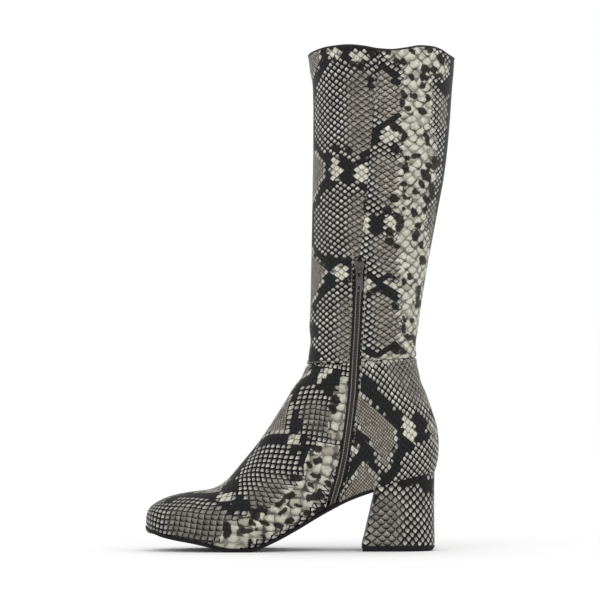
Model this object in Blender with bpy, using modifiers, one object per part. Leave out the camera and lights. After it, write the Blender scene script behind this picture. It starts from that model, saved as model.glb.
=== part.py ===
"""Right-foot knee boot in stretch print: lasted upper, tall shaft, inside zip and covered block heel.

The toe points along -X, the inner (medial) side of the foot faces -Y and +Z is up. The floor is Z = 0.
Tables are in millimetres; the mesh is in metres.
"""

import math
from collections import namedtuple

import bmesh
import bpy
import numpy as np
from mathutils import Matrix, Vector

MM = 0.001

# Driving dimensions, in millimetres
WALL = 1.6
CLEAR = 0.4
SEAM_CLEAR = 0.8
OUTSOLE_THICK = 2.5
OUTSOLE_OVERHANG = 0.5
OUTSOLE_STOP = 1.3
INSOLE_THICK = 2.2
INSOLE_INSET = 2.9
TOP_PIECE_THICK = 4.5
SLOT_HALF = 4.0

# Mesh fineness: points from the base of a section to its ridge, and rows added between two table rows
SIDE_POINTS = 17
UPPER_ROWS = 53
SHAFT_ROWS = 15

# One row for each section of the boot, from the toe over the instep and round the heel to the topline.
# A section lies in the plane through its ridge (front or top) and its base (sole edge, or back of the leg).
# medial and lateral are the greatest half widths from axis_y, base_medial and base_lateral those at the sole
# edge, widest the height of the greatest width as a share of the section, ridge_power its squareness on top.
Section = namedtuple(
    "Section",
    "ridge_x ridge_z base_x base_z axis_y medial lateral base_medial base_lateral widest ridge_power",
)
FOOT = [
    Section(-126.1, 27.1, -126.1, 21.1, -4.0, 0.0, 0.0, 0.0, 0.0, 0.3, 2.2),
    Section(-125.1, 31.2, -125.1, 19.5, -4.0, 9.0, 9.0, 8.0, 8.0, 0.3, 2.2),
    Section(-122.8, 35.3, -122.8, 17.8, -4.0, 16.5, 16.5, 15.0, 15.0, 0.3, 2.2),
    Section(-118.7, 38.7, -118.7, 17.0, -3.8, 23.0, 23.0, 21.5, 21.5, 0.3, 2.2),
    Section(-112.1, 42.3, -112.1, 14.7, -3.5, 29.0, 28.8, 27.5, 27.3, 0.29, 2.2),
    Section(-101.5, 45.8, -101.5, 12.3, -3.0, 34.0, 34.2, 32.5, 32.6, 0.28, 2.2),
    Section(-88.4, 48.2, -87.5, 9.8, -2.3, 37.5, 38.3, 36.0, 36.7, 0.27, 2.2),
    Section(-75.2, 49.8, -73.5, 6.6, -1.5, 40.0, 41.3, 38.5, 39.7, 0.26, 2.2),
    Section(-67.0, 52.5, -64.5, 4.4, -1.0, 41.4, 42.7, 39.8, 41.0, 0.25, 2.15),
    Section(-58.8, 58.7, -55.0, 2.9, -0.6, 42.2, 43.5, 40.4, 41.8, 0.23, 2.1),
    Section(-49.0, 70.1, -41.5, 2.9, -0.2, 42.0, 43.6, 39.6, 41.8, 0.21, 2.05),
    Section(-35.9, 86.1, -22.8, 9.7, 0.0, 40.2, 42.4, 36.6, 40.2, 0.19, 2.0),
    Section(-22.8, 105.0, -3.1, 20.0, 0.3, 37.4, 40.2, 32.2, 37.2, 0.19, 2.0),
    Section(-10.5, 124.7, 18.2, 32.6, 0.5, 35.4, 37.6, 28.8, 34.0, 0.2, 2.0),
    Section(-3.0, 137.0, 41.2, 44.5, 0.4, 34.4, 35.8, 27.8, 31.2, 0.22, 2.0),
    Section(1.0, 142.7, 64.2, 52.7, 0.2, 33.8, 34.4, 28.6, 29.6, 0.25, 2.0),
    Section(2.9, 145.6, 82.0, 57.9, 0.0, 33.3, 33.6, 28.4, 28.6, 0.28, 2.0),
    Section(3.9, 147.1, 96.25, 61.3, 0.0, 32.9, 33.0, 24.7, 24.7, 0.31, 2.0),
    Section(4.4, 148.0, 103.8, 63.0, 0.0, 32.7, 32.7, 18.3, 18.3, 0.33, 2.0),
    Section(4.75, 148.55, 108.0, 64.1, 0.0, 32.6, 32.6, 11.6, 11.6, 0.34, 2.0),
    Section(4.95, 148.9, 110.0, 64.5, 0.0, 32.5, 32.5, 5.4, 5.4, 0.34, 2.0),
    Section(5.05, 149.1, 110.5, 64.8, 0.0, 32.5, 32.5, 0.0, 0.0, 0.35, 2.0),
    Section(5.3, 149.5, 113.2, 75.5, 0.0, 32.4, 32.4, 0.0, 0.0, 0.37, 2.0),
    Section(5.5, 150.0, 113.8, 87.0, 0.0, 32.4, 32.4, 0.0, 0.0, 0.4, 2.0),
    Section(5.7, 150.4, 112.6, 100.1, 0.0, 32.6, 32.6, 0.0, 0.0, 0.43, 2.0),
    Section(5.9, 150.8, 108.5, 113.6, 0.0, 33.0, 33.0, 0.0, 0.0, 0.45, 2.0),
    Section(6.05, 151.1, 103.6, 128.0, 0.0, 33.6, 33.6, 0.0, 0.0, 0.47, 2.0),
    Section(6.2, 151.4, 98.5, 142.3, 0.0, 34.2, 34.2, 0.0, 0.0, 0.48, 2.0),
    Section(6.3, 151.7, 95.1, 157.9, 0.0, 34.8, 34.8, 0.0, 0.0, 0.49, 2.0),
]
SHAFT = [
    Section(7.6, 164.6, 95.4, 167.3, 0.0, 35.5, 35.5, 0.0, 0.0, 0.49, 2.0),
    Section(8.2, 185.4, 97.5, 187.0, 0.0, 37.4, 37.4, 0.0, 0.0, 0.49, 2.0),
    Section(8.7, 210.0, 101.0, 211.6, 0.0, 40.6, 40.6, 0.0, 0.0, 0.49, 2.0),
    Section(9.2, 234.6, 104.9, 234.6, 0.0, 43.8, 43.8, 0.0, 0.0, 0.49, 2.0),
    Section(9.7, 259.2, 109.4, 259.2, 0.0, 46.8, 46.8, 0.0, 0.0, 0.48, 2.0),
    Section(10.1, 283.8, 114.0, 283.8, 0.0, 49.4, 49.4, 0.0, 0.0, 0.48, 2.0),
    Section(10.5, 308.4, 118.4, 308.4, 0.0, 51.6, 51.6, 0.0, 0.0, 0.48, 2.0),
    Section(10.8, 333.0, 121.3, 333.0, 0.0, 53.0, 53.0, 0.0, 0.0, 0.48, 2.0),
    Section(10.9, 357.6, 123.3, 357.6, 0.0, 54.0, 54.0, 0.0, 0.0, 0.48, 2.0),
    Section(10.5, 378.6, 124.7, 378.6, 0.0, 54.6, 54.6, 0.0, 0.0, 0.48, 2.05),
    Section(8.2, 392.6, 125.9, 391.6, 0.0, 55.0, 55.0, 0.0, 0.0, 0.48, 2.1),
    Section(6.7, 405.1, 126.6, 403.1, 0.0, 55.4, 55.4, 0.0, 0.0, 0.48, 2.1),
]
TABLE = np.array(FOOT + SHAFT)
SEAM_ROW = len(FOOT) - 1
TOP_ROW = len(TABLE) - 1
HEEL_BACK_ROW = 21

# Rise of the topline over its front and back ends, by the share of the way round one side from front to back
TOPLINE = [
    (0.0, 0.0),
    (0.1, 2.6),
    (0.24, 6.4),
    (0.34, 7.6),
    (0.41, 6.6),
    (0.48, 4.5),
    (0.535, 4.0),
    (0.6, 5.5),
    (0.68, 7.9),
    (0.74, 7.6),
    (0.8, 5.7),
    (0.865, 2.2),
    (0.93, 0.5),
    (1.0, 0.0),
]

# Level slices through heel, ankle and leg: half width, and the lengths over which back and front round off.
# Above the last row the slice follows the leg's own table and rounds off evenly.
Slice = namedtuple("Slice", "z half back_round front_round")
SLICES = [
    Slice(50.0, 31.0, 30.0, 86.0),
    Slice(66.0, 31.6, 30.0, 80.0),
    Slice(80.0, 32.1, 30.5, 73.0),
    Slice(100.0, 32.6, 32.0, 62.0),
    Slice(120.0, 33.2, 35.5, 54.0),
    Slice(140.0, 34.0, 40.0, 48.0),
    Slice(158.0, 34.9, 44.0, 46.0),
]
SLICE_BACK_SHARE = 0.48
SLICE_BACK_POWER = 2.15
SOLE_TUCK = 0.08
SOLE_TUCK_HEIGHT = 14.0
BLEND_FIRST_ROW = 12.5
BLEND_LAST_ROW = 17.0

# Heel block: front and back of its plan at the seat and on the floor, and half widths there
HEEL_SEAT_FRONT = 61.7
HEEL_SEAT_BACK = 110.3
HEEL_SEAT_HALF = 28.8
HEEL_FLOOR_FRONT = 50.8
HEEL_FLOOR_BACK = 110.4
HEEL_FLOOR_HALF = 27.0
HEEL_SEAT_POWER = 2.5
HEEL_FLOOR_POWER = 3.4
HEEL_BREAST_HOLLOW = 2.0

# The zip's middle line on the inner side, from the sole edge to its top end
RoutePoint = namedtuple("RoutePoint", "x z")
ZIP_ROUTE = [
    RoutePoint(25.6, 36.3),
    RoutePoint(31.9, 58.0),
    RoutePoint(36.0, 76.1),
    RoutePoint(38.7, 93.7),
    RoutePoint(41.0, 111.3),
    RoutePoint(43.0, 129.4),
    RoutePoint(44.5, 156.0),
    RoutePoint(46.1, 182.7),
    RoutePoint(47.5, 215.5),
    RoutePoint(48.2, 240.0),
]
ZIP_STATIONS = 26
ZIP_FOOT_BLEND = 22.0
SOLE_SLOPE = (0.88, 0.47)
TAPE_HALF = 6.5
TAPE_CLEAR = 0.9
TAPE_THICK = 0.8
COIL_HALF = 1.8
COIL_PROUD = 0.5
SLIDER_Z = 232.0
SLIDER_LENGTH = 11.0
SLIDER_HALF = 4.6
SLIDER_NECK_HALF = 3.3
SLIDER_PLATE = 1.5
CROWN_HALF = 1.2
CROWN_LENGTH = 7.0
CROWN_HEIGHT = 3.2
CROWN_HOLE_HEIGHT = 2.2
CROWN_HOLE_LENGTH = 3.0
PULL_LENGTH = 22.0
PULL_HALF = 3.2
PULL_THICK = 1.2
PULL_BAR = 1.3
PULL_WINDOW_HALF = 1.65
PULL_WINDOW_LENGTH = 7.5
PULL_EYE = 0.9

PRINT_COLOUR = (0.30, 0.29, 0.25)
BLACK_RUBBER = (0.012, 0.012, 0.012)
INSOLE_COLOUR = (0.05, 0.045, 0.04)
ZIP_COLOUR = (0.055, 0.05, 0.045)
GUNMETAL = (0.10, 0.10, 0.10)


def clear_scene():
    for thing in list(bpy.data.objects):
        bpy.data.objects.remove(thing, do_unlink=True)


def new_collection(name):
    collection = bpy.data.collections.new(name)
    bpy.context.scene.collection.children.link(collection)
    return collection


def new_material(name, colour, roughness, metallic=0.0):
    material = bpy.data.materials.new(name)
    material.use_nodes = True
    shader = material.node_tree.nodes["Principled BSDF"]
    shader.inputs["Base Color"].default_value = (*colour, 1.0)
    shader.inputs["Roughness"].default_value = roughness
    shader.inputs["Metallic"].default_value = metallic
    return material


def add_mesh(name, mesh_builder, collection, material=None):
    """A new object from a bmesh, welded, with its faces turned outwards."""
    bmesh.ops.remove_doubles(mesh_builder, verts=mesh_builder.verts, dist=0.00002)
    bmesh.ops.recalc_face_normals(mesh_builder, faces=mesh_builder.faces)
    mesh = bpy.data.meshes.new(name)
    mesh_builder.to_mesh(mesh)
    mesh_builder.free()
    mesh.shade_smooth()
    mesh.set_sharp_from_angle(angle=math.radians(40))
    thing = bpy.data.objects.new(name, mesh)
    collection.objects.link(thing)
    if material:
        thing.data.materials.append(material)
    return thing


def as_cutter(thing):
    thing.hide_render = True
    thing.display_type = "WIRE"
    return thing


def smooth_rows(table, places):
    """Rows of the table at fractional row numbers, on a curve that never overshoots between two rows."""
    table = np.asarray(table, float)
    steps = np.diff(table, axis=0)
    before, after = steps[:-1], steps[1:]
    slopes = np.zeros_like(table)
    same_way = before * after > 0
    harmonic = 2 * before * after / np.where(same_way, before + after, 1.0)
    slopes[1:-1] = np.where(same_way, harmonic, 0.0)
    slopes[0], slopes[-1] = steps[0], steps[-1]
    places = np.atleast_1d(np.asarray(places, float))
    row = np.clip(np.floor(places).astype(int), 0, len(table) - 2)
    f = (places - row)[:, None]
    return (
        table[row] * (1 + 2 * f) * (1 - f) ** 2
        + slopes[row] * f * (1 - f) ** 2
        + table[row + 1] * f**2 * (3 - 2 * f)
        + slopes[row + 1] * f**2 * (f - 1)
    )


def half_width(section, share, side):
    """Half width of a section on one side, at a share of the way from its base to its ridge."""
    full = section.medial if side < 0 else section.lateral
    base = section.base_medial if side < 0 else section.base_lateral
    if full < 1e-6:
        return np.zeros_like(share)
    power = section.ridge_power
    above = np.clip((share - section.widest) / (1 - section.widest), 0, 1)
    below = np.clip((section.widest - share) / section.widest, 0, 1)
    tuck = max(0.0, 1 - (base / full) ** power) ** (1 / power)
    over = np.maximum(0.0, 1 - above**power) ** (1 / power)
    under = np.maximum(0.0, 1 - (tuck * below) ** power) ** (1 / power)
    return full * over * under


def side_view_lines():
    """Side-view lines by height: front or instep, back, and half width of the leg; and the sole edge by X."""
    dense = smooth_rows(TABLE, np.linspace(8, TOP_ROW, 600))
    back = smooth_rows(TABLE, np.linspace(HEEL_BACK_ROW, TOP_ROW, 400))
    leg = smooth_rows(TABLE, np.linspace(SEAM_ROW, TOP_ROW, 200))
    foot = smooth_rows(SLICES, np.linspace(0, len(SLICES) - 1, 120))
    sole = smooth_rows(TABLE, np.linspace(8, HEEL_BACK_ROW, 300))
    level = (leg[:, 1] + leg[:, 3]) / 2
    below_back = back[0] + 60 * (back[0] - back[1])
    back = np.concatenate([[below_back], back])
    above = level > foot[-1, 0] + 8
    half = np.concatenate([foot[:, :2], np.stack([level[above], leg[above, 5]], axis=1)])
    return dense[:, [1, 0]], back[:, [3, 2]], half, foot, sole[:, [2, 3]]


def level_half_width(x, z):
    """Half width of heel, ankle and leg at points of the side view, from level slices."""
    front_line, back_line, half_line, rounding, sole = LINES
    front = np.interp(z, front_line[:, 0], front_line[:, 1])
    back = np.interp(z, back_line[:, 0], back_line[:, 1])
    span = np.maximum(back - front, 1.0)
    half = np.interp(z, half_line[:, 0], half_line[:, 1])
    leg = np.clip((z - 140) / 18, 0, 1)
    back_round = np.interp(z, rounding[:, 0], rounding[:, 2]) * (1 - leg) + SLICE_BACK_SHARE * span * leg
    front_round = np.interp(z, rounding[:, 0], rounding[:, 3]) * (1 - leg) + (1 - SLICE_BACK_SHARE) * span * leg
    power = SLICE_BACK_POWER + (2.0 - SLICE_BACK_POWER) * leg
    behind = np.clip(1 - (back - x) / back_round, 0, 1)
    ahead = np.clip(1 - (x - front) / front_round, 0, 1)
    tuck = SOLE_TUCK * np.clip(1 - (z - np.interp(x, sole[:, 0], sole[:, 1])) / SOLE_TUCK_HEIGHT, 0, 1) ** 2
    return half * (1 - tuck) * (1 - behind**power) ** (1 / power) * np.sqrt(1 - ahead**2)


def wall_half_width(place, section, share, side):
    """Half width at a share of a section: foot sections in front, level slices behind, blended at the ankle."""
    blend = min(1.0, max(0.0, (place - BLEND_FIRST_ROW) / (BLEND_LAST_ROW - BLEND_FIRST_ROW)))
    blend = blend * blend * (3 - 2 * blend)
    x = section.base_x + share * (section.ridge_x - section.base_x)
    z = section.base_z + share * (section.ridge_z - section.base_z)
    width = 0.0
    if blend < 1:
        width = width + (1 - blend) * half_width(section, share, side)
    if blend > 0:
        width = width + blend * level_half_width(x, z)
    closed = (share >= 1) | ((share <= 0) & (place >= HEEL_BACK_ROW))
    return np.where(closed, 0.0, width)


def topline_wave(round_share):
    """Rise of the topline: none at front and back, and a dip between two humps on each side."""
    shares, rises = zip(*TOPLINE)
    return float(np.interp(round_share, shares, rises))


def section_outline(place, lift=0.0):
    """Points of a section from the inner base over the ridge to the outer base, evenly spaced on each side."""
    section = section_at(place)
    fine = 0.5 - 0.5 * np.cos(np.linspace(0, math.pi, 120))
    sides = []
    for side in (-1, 1):
        x = section.base_x + fine * (section.ridge_x - section.base_x)
        z = section.base_z + fine * (section.ridge_z - section.base_z)
        y = section.axis_y + side * wall_half_width(place, section, fine, side)
        steps = np.sqrt(np.diff(x) ** 2 + np.diff(y) ** 2 + np.diff(z) ** 2)
        run = np.concatenate([[0], np.cumsum(steps)])
        even = np.linspace(0, run[-1], SIDE_POINTS)
        points = np.stack([np.interp(even, run, axis) for axis in (x, y, z)], axis=1)
        points[:, 2] += [lift * topline_wave(share) for share in np.linspace(1, 0, SIDE_POINTS)]
        sides.append(points)
    return np.concatenate([sides[0], sides[1][-2::-1]])


def section_at(place):
    return Section(*smooth_rows(TABLE, place)[0])


def inner_wall_y(x, z):
    """Y of the boot's outer surface on the inner side of the foot, over a point of the side view."""
    low, high = 8.0, float(TOP_ROW)
    for _ in range(48):
        middle = (low + high) / 2
        s = section_at(middle)
        ahead = (x - s.base_x) * (s.ridge_z - s.base_z) - (z - s.base_z) * (s.ridge_x - s.base_x)
        if ahead > 0:
            low = middle
        else:
            high = middle
    s = section_at(low)
    along = Vector((s.ridge_x - s.base_x, s.ridge_z - s.base_z))
    share = Vector((x - s.base_x, z - s.base_z)).dot(along) / along.length_squared
    return s.axis_y - float(wall_half_width(low, s, np.array([share]), -1)[0])


def inner_wall_point(x, z, proud):
    """A point that stands proud millimetres off the inner side of the boot."""
    step = 1.0
    slope_x = (inner_wall_y(x + step, z) - inner_wall_y(x - step, z)) / (2 * step)
    slope_z = (inner_wall_y(x, z + step) - inner_wall_y(x, z - step)) / (2 * step)
    normal = Vector((slope_x, -1.0, slope_z)).normalized()
    return Vector((x, inner_wall_y(x, z), z)) + normal * proud


def sheet(name, rows, collection, material):
    """An open surface through rows of points, given the wall's thickness on its inner side."""
    builder = bmesh.new()
    grid = [[builder.verts.new(Vector(p) * MM) for p in row] for row in rows]
    for one, two in zip(grid, grid[1:]):
        for k in range(len(one) - 1):
            builder.faces.new((one[k], one[k + 1], two[k + 1], two[k]))
    bmesh.ops.remove_doubles(builder, verts=builder.verts, dist=0.00002)
    bmesh.ops.dissolve_degenerate(builder, edges=builder.edges, dist=0.00002)
    thing = add_mesh(name, builder, collection, material)
    wall = thing.modifiers.new("wall", "SOLIDIFY")
    wall.thickness = WALL * MM
    wall.offset = -1.0
    wall.use_even_offset = False
    return thing


def loft(name, loops, collection, material=None):
    """A closed solid through loops of points, with a face on each end loop."""
    builder = bmesh.new()
    rings = [[builder.verts.new(Vector(p) * MM) for p in loop] for loop in loops]
    for one, two in zip(rings, rings[1:]):
        count = len(one)
        for k in range(count):
            builder.faces.new((one[k], one[(k + 1) % count], two[(k + 1) % count], two[k]))
    builder.faces.new(rings[0][::-1])
    builder.faces.new(rings[-1])
    bmesh.ops.remove_doubles(builder, verts=builder.verts, dist=0.00002)
    bmesh.ops.dissolve_degenerate(builder, edges=builder.edges, dist=0.00002)
    return add_mesh(name, builder, collection, material)


def cut(thing, cutter, operation="DIFFERENCE"):
    change = thing.modifiers.new(cutter.name, "BOOLEAN")
    change.operation = operation
    change.object = cutter


def sole_plan(growth, places):
    """Inner and outer edge of the sole's plan and its height along the foot, grown sideways by a margin."""
    rows = smooth_rows(TABLE, places)
    middle = [Section(*row) for row in rows]
    inner = [(s.base_x, s.axis_y - s.base_medial) for s in middle]
    outer = [(s.base_x, s.axis_y + s.base_lateral) for s in middle]
    ring = np.array(inner + outer[-2:0:-1])
    ahead = np.roll(ring, -1, axis=0) - np.roll(ring, 1, axis=0)
    normal = np.stack([-ahead[:, 1], ahead[:, 0]], axis=1)
    normal /= np.linalg.norm(normal, axis=1)[:, None]
    grown = ring - growth * normal
    count = len(inner)
    grown_inner = grown[:count]
    grown_outer = np.concatenate([grown[:1], grown[count:][::-1], grown[count - 1 : count]])
    return grown_inner, grown_outer, np.array([s.base_z for s in middle])


def sole_stations():
    """Row numbers along the sole's plan, closest together at the round of toe and heel."""
    toe = [0, 0.5, 1, 1.5, 2, 2.5, 3, 3.5, 4, 4.5]
    middle = list(np.arange(5, 15.1, 0.5))
    heel = list(np.arange(15.5, HEEL_BACK_ROW + 0.1, 0.5))
    return toe + middle + heel


def make_upper(collection, material):
    rows = [section_outline(place) for place in np.linspace(0, SEAM_ROW, UPPER_ROWS)]
    return sheet("upper", rows, collection, material)


def make_shaft(collection, material):
    rows = []
    for place in np.linspace(SEAM_ROW, TOP_ROW, SHAFT_ROWS):
        share = (place - SEAM_ROW) / (TOP_ROW - SEAM_ROW)
        outline = section_outline(place, lift=share**4)
        outline[:, 2] += SEAM_CLEAR * (1 - share)
        rows.append(outline)
    return sheet("shaft", rows, collection, material)


def make_outsole(collection, material):
    inner, outer, height = sole_plan(OUTSOLE_OVERHANG, sole_stations())
    end = HEEL_SEAT_FRONT - OUTSOLE_STOP
    loops = []
    for a, b, z in zip(inner, outer, height):
        if max(a[0], b[0]) > end:
            break
        top = z - CLEAR
        low = max(0.0, top - OUTSOLE_THICK)
        loops.append([(*a, top), (*b, top), (*b, low), (*a, low)])
    last = len(loops)
    back = [np.interp(end, [inner[last - 1][0], inner[last][0]], [inner[last - 1][1], inner[last][1]])]
    back.append(np.interp(end, [outer[last - 1][0], outer[last][0]], [outer[last - 1][1], outer[last][1]]))
    top = np.interp(end, [inner[last - 1][0], inner[last][0]], height[last - 1 : last + 1]) - CLEAR
    corners = [(end, back[0], top), (end, back[1], top)]
    loops.append(corners + [(x, y, z - OUTSOLE_THICK) for x, y, z in corners[::-1]])
    return loft("outsole", loops, collection, material)


def make_insole(collection, material):
    inner, outer, height = sole_plan(-INSOLE_INSET, sole_stations())
    loops = []
    for a, b, z in zip(inner, outer, height):
        low = z + CLEAR
        top = low + INSOLE_THICK
        loops.append([(*a, top), (*b, top), (*b, low), (*a, low)])
    return loft("insole", loops, collection, material)


def heel_plan(front, back, half, power, hollow):
    """D-shaped plan of the heel: round the back from the inner to the outer front corner, then the breast."""
    round_back = []
    for angle in np.linspace(-math.pi / 2, math.pi / 2, 29):
        run = abs(math.cos(angle)) ** (2 / power)
        out = math.copysign(abs(math.sin(angle)) ** (2 / power), angle)
        round_back.append((front + (back - front) * run, half * out))
    breast = []
    for share in np.linspace(1, -1, 7)[1:-1]:
        breast.append((front + hollow * (1 - share * share), half * share))
    return round_back + breast


def seat_height(x):
    rows = smooth_rows(TABLE, np.linspace(13, HEEL_BACK_ROW, 40))
    return float(np.interp(x, rows[:, 2], rows[:, 3]))


def make_heel(collection, block_material, rubber):
    low = TOP_PIECE_THICK + CLEAR
    loops = []
    for share in np.linspace(0, 1, 5):
        front = HEEL_FLOOR_FRONT + (HEEL_SEAT_FRONT - HEEL_FLOOR_FRONT) * share
        back = HEEL_FLOOR_BACK + (HEEL_SEAT_BACK - HEEL_FLOOR_BACK) * share - 0.3 * math.sin(math.pi * share)
        half = HEEL_FLOOR_HALF + (HEEL_SEAT_HALF - HEEL_FLOOR_HALF) * share - 1.0 * math.sin(math.pi * share)
        power = HEEL_FLOOR_POWER + (HEEL_SEAT_POWER - HEEL_FLOOR_POWER) * share
        plan = heel_plan(front, back, half, power, HEEL_BREAST_HOLLOW)
        loops.append([(x, y, low + (seat_height(x) - CLEAR - low) * share) for x, y in plan])
    block = loft("heel_block", loops, collection, block_material)

    plan = heel_plan(HEEL_FLOOR_FRONT, HEEL_FLOOR_BACK, HEEL_FLOOR_HALF, HEEL_FLOOR_POWER, HEEL_BREAST_HOLLOW)
    length = HEEL_FLOOR_BACK - HEEL_FLOOR_FRONT
    worn_back = []
    for x, y in plan:
        pull = 2.2 * max(0.0, (x - HEEL_FLOOR_FRONT) / length - 0.5) ** 2 * 4
        worn_back.append((x - pull, y * (1 - 0.02 * pull), 0.0))
    rim = [(x, y, 2.2) for x, y in plan]
    top = [(x, y, TOP_PIECE_THICK) for x, y in plan]
    tip = loft("heel_top_piece", [worn_back, rim, top], collection, rubber)
    return block, tip


def zip_stations(first_z, last_z):
    """Points of the zip's middle line with the direction across it, which turns along the sole at the foot."""
    route = smooth_rows(ZIP_ROUTE, np.linspace(0, len(ZIP_ROUTE) - 1, 200))
    heights = np.linspace(first_z, last_z, ZIP_STATIONS)
    stations = []
    for z in heights:
        x = np.interp(z, route[:, 1], route[:, 0])
        ahead = np.interp(z + 2, route[:, 1], route[:, 0]) - np.interp(z - 2, route[:, 1], route[:, 0])
        square = Vector((4.0, -ahead)).normalized()
        near_sole = min(1.0, max(0.0, 1 - (z - ZIP_ROUTE[0].z) / ZIP_FOOT_BLEND))
        stations.append((Vector((x, z)), square.lerp(Vector(SOLE_SLOPE), near_sole).normalized()))
    return stations


def strip(name, first_z, last_z, across, collection, material):
    """A strip on the inner wall: across lists its corners as (distance from the middle line, proud of the wall)."""
    loops = []
    for middle, aside in zip_stations(first_z, last_z):
        loop = []
        for distance, proud in across:
            place = middle + aside * distance
            loop.append(inner_wall_point(place.x, place.y, proud))
        loops.append(loop)
    return loft(name, loops, collection, material)


def make_zip(collection, cutters, material):
    """The slot's cutter, the tape behind the wall and the closed coil in the slot."""
    bottom, top = ZIP_ROUTE[0].z, ZIP_ROUTE[-1].z
    tape_skin = -WALL - TAPE_CLEAR
    tape_back = tape_skin - TAPE_THICK
    tape_corners = [(-TAPE_HALF, tape_skin), (0.0, tape_skin), (TAPE_HALF, tape_skin)]
    tape_corners += [(w, tape_back) for w, _ in tape_corners[::-1]]
    strip("zip_tape", bottom + 5.0, top + 2.0, tape_corners, collection, material)

    coil_foot = tape_skin + CLEAR
    coil_corners = [(-COIL_HALF, -0.3), (-0.9, COIL_PROUD), (0.9, COIL_PROUD), (COIL_HALF, -0.3)]
    coil_corners += [(COIL_HALF, coil_foot), (-COIL_HALF, coil_foot)]
    coil_end = SLIDER_Z - SLIDER_LENGTH / 2 - CLEAR
    strip("zip_coil", bottom + 1.5, coil_end, coil_corners, collection, material)

    loops = []
    below = RoutePoint(ZIP_ROUTE[0].x - 6.0, bottom - 20.0)
    slot_path = [(Vector(below), Vector(SOLE_SLOPE))] + zip_stations(bottom, top)
    for middle, aside in slot_path:
        left = middle - aside * SLOT_HALF
        right = middle + aside * SLOT_HALF
        corners = [(left, -95.0), (right, -95.0), (right, -5.0), (left, -5.0)]
        loops.append([(p.x, y, p.y) for p, y in corners])
    return as_cutter(loft("zip_slot_cutter", loops, cutters))


def slider_frame():
    """Origin on the wall at the slider, with X across the zip, Y along it upwards and Z out of the wall."""
    route = smooth_rows(ZIP_ROUTE, np.linspace(0, len(ZIP_ROUTE) - 1, 200))
    x = float(np.interp(SLIDER_Z, route[:, 1], route[:, 0]))
    origin = inner_wall_point(x, SLIDER_Z, 0.0) * MM
    return Matrix.Translation(origin) @ Matrix(((1, 0, 0, 0), (0, 0, -1, 0), (0, 1, 0, 0), (0, 0, 0, 1)))


def box(name, size, centre, collection, material=None):
    builder = bmesh.new()
    bmesh.ops.create_cube(builder, size=1.0)
    bmesh.ops.scale(builder, vec=Vector(size) * MM, verts=builder.verts)
    bmesh.ops.translate(builder, vec=Vector(centre) * MM, verts=builder.verts)
    return add_mesh(name, builder, collection, material)


def plate(name, outlines, thick, collection):
    """A flat plate from outlines, the first its edge and the others holes, as a mesh centred on its thickness."""
    curve = bpy.data.curves.new(name + "_outline", "CURVE")
    curve.dimensions = "2D"
    curve.fill_mode = "BOTH"
    curve.extrude = thick / 2 * MM
    for outline in outlines:
        spline = curve.splines.new("POLY")
        spline.points.add(len(outline) - 1)
        spline.use_cyclic_u = True
        for point, (x, y) in zip(spline.points, outline):
            point.co = (x * MM, y * MM, 0.0, 1.0)
    drawn = bpy.data.objects.new(name + "_outline", curve)
    collection.objects.link(drawn)
    graph = bpy.context.evaluated_depsgraph_get()
    mesh = bpy.data.meshes.new_from_object(drawn.evaluated_get(graph))
    bpy.data.objects.remove(drawn, do_unlink=True)
    builder = bmesh.new()
    builder.from_mesh(mesh)
    bpy.data.meshes.remove(mesh)
    return builder


def rounded_outline(half_top, half_bottom, top, bottom, corner):
    """A four-sided outline with round corners, anticlockwise."""
    centres = [
        (half_bottom - corner, bottom + corner, -90),
        (half_top - corner, top - corner, 0),
        (-half_top + corner, top - corner, 90),
        (-half_bottom + corner, bottom + corner, 180),
    ]
    points = []
    for x, y, start in centres:
        for turn in np.linspace(start, start + 90, 5):
            angle = math.radians(turn)
            points.append((x + corner * math.cos(angle), y + corner * math.sin(angle)))
    return points


def make_slider(collection, cutters, material):
    """Slider plate over the slot, its neck in the slot and the crown that the pull hangs on."""
    frame = slider_frame()
    half = SLIDER_LENGTH / 2
    plate_low = COIL_PROUD + CLEAR
    builder = plate(
        "zip_slider", [rounded_outline(SLIDER_HALF, SLIDER_HALF - 1.2, half, -half, 2.2)], SLIDER_PLATE, collection
    )
    bmesh.ops.translate(builder, vec=Vector((0, 0, plate_low + SLIDER_PLATE / 2)) * MM, verts=builder.verts)
    slider = add_mesh("zip_slider", builder, collection, material)
    plate_top = plate_low + SLIDER_PLATE

    neck_low = -WALL
    neck_high = plate_low + 0.5
    neck_size = (2 * SLIDER_NECK_HALF, SLIDER_LENGTH - 2.5, neck_high - neck_low)
    neck = as_cutter(box("slider_neck", neck_size, (0, 0, (neck_low + neck_high) / 2), cutters))
    crown_size = (2 * CROWN_HALF, CROWN_LENGTH, CROWN_HEIGHT + 0.5)
    crown = as_cutter(box("slider_crown", crown_size, (0, 0.8, plate_top + CROWN_HEIGHT / 2 - 0.25), cutters))
    hole_size = (4 * CROWN_HALF, CROWN_HOLE_LENGTH, CROWN_HOLE_HEIGHT)
    hole = as_cutter(box("slider_crown_hole", hole_size, (0, 0.8, plate_top + CROWN_HOLE_HEIGHT / 2), cutters))
    for piece in (slider, neck, crown, hole):
        piece.matrix_world = frame
    cut(slider, neck, "UNION")
    cut(slider, crown, "UNION")
    cut(slider, hole)
    return frame, plate_top + CROWN_HOLE_HEIGHT / 2


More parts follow.
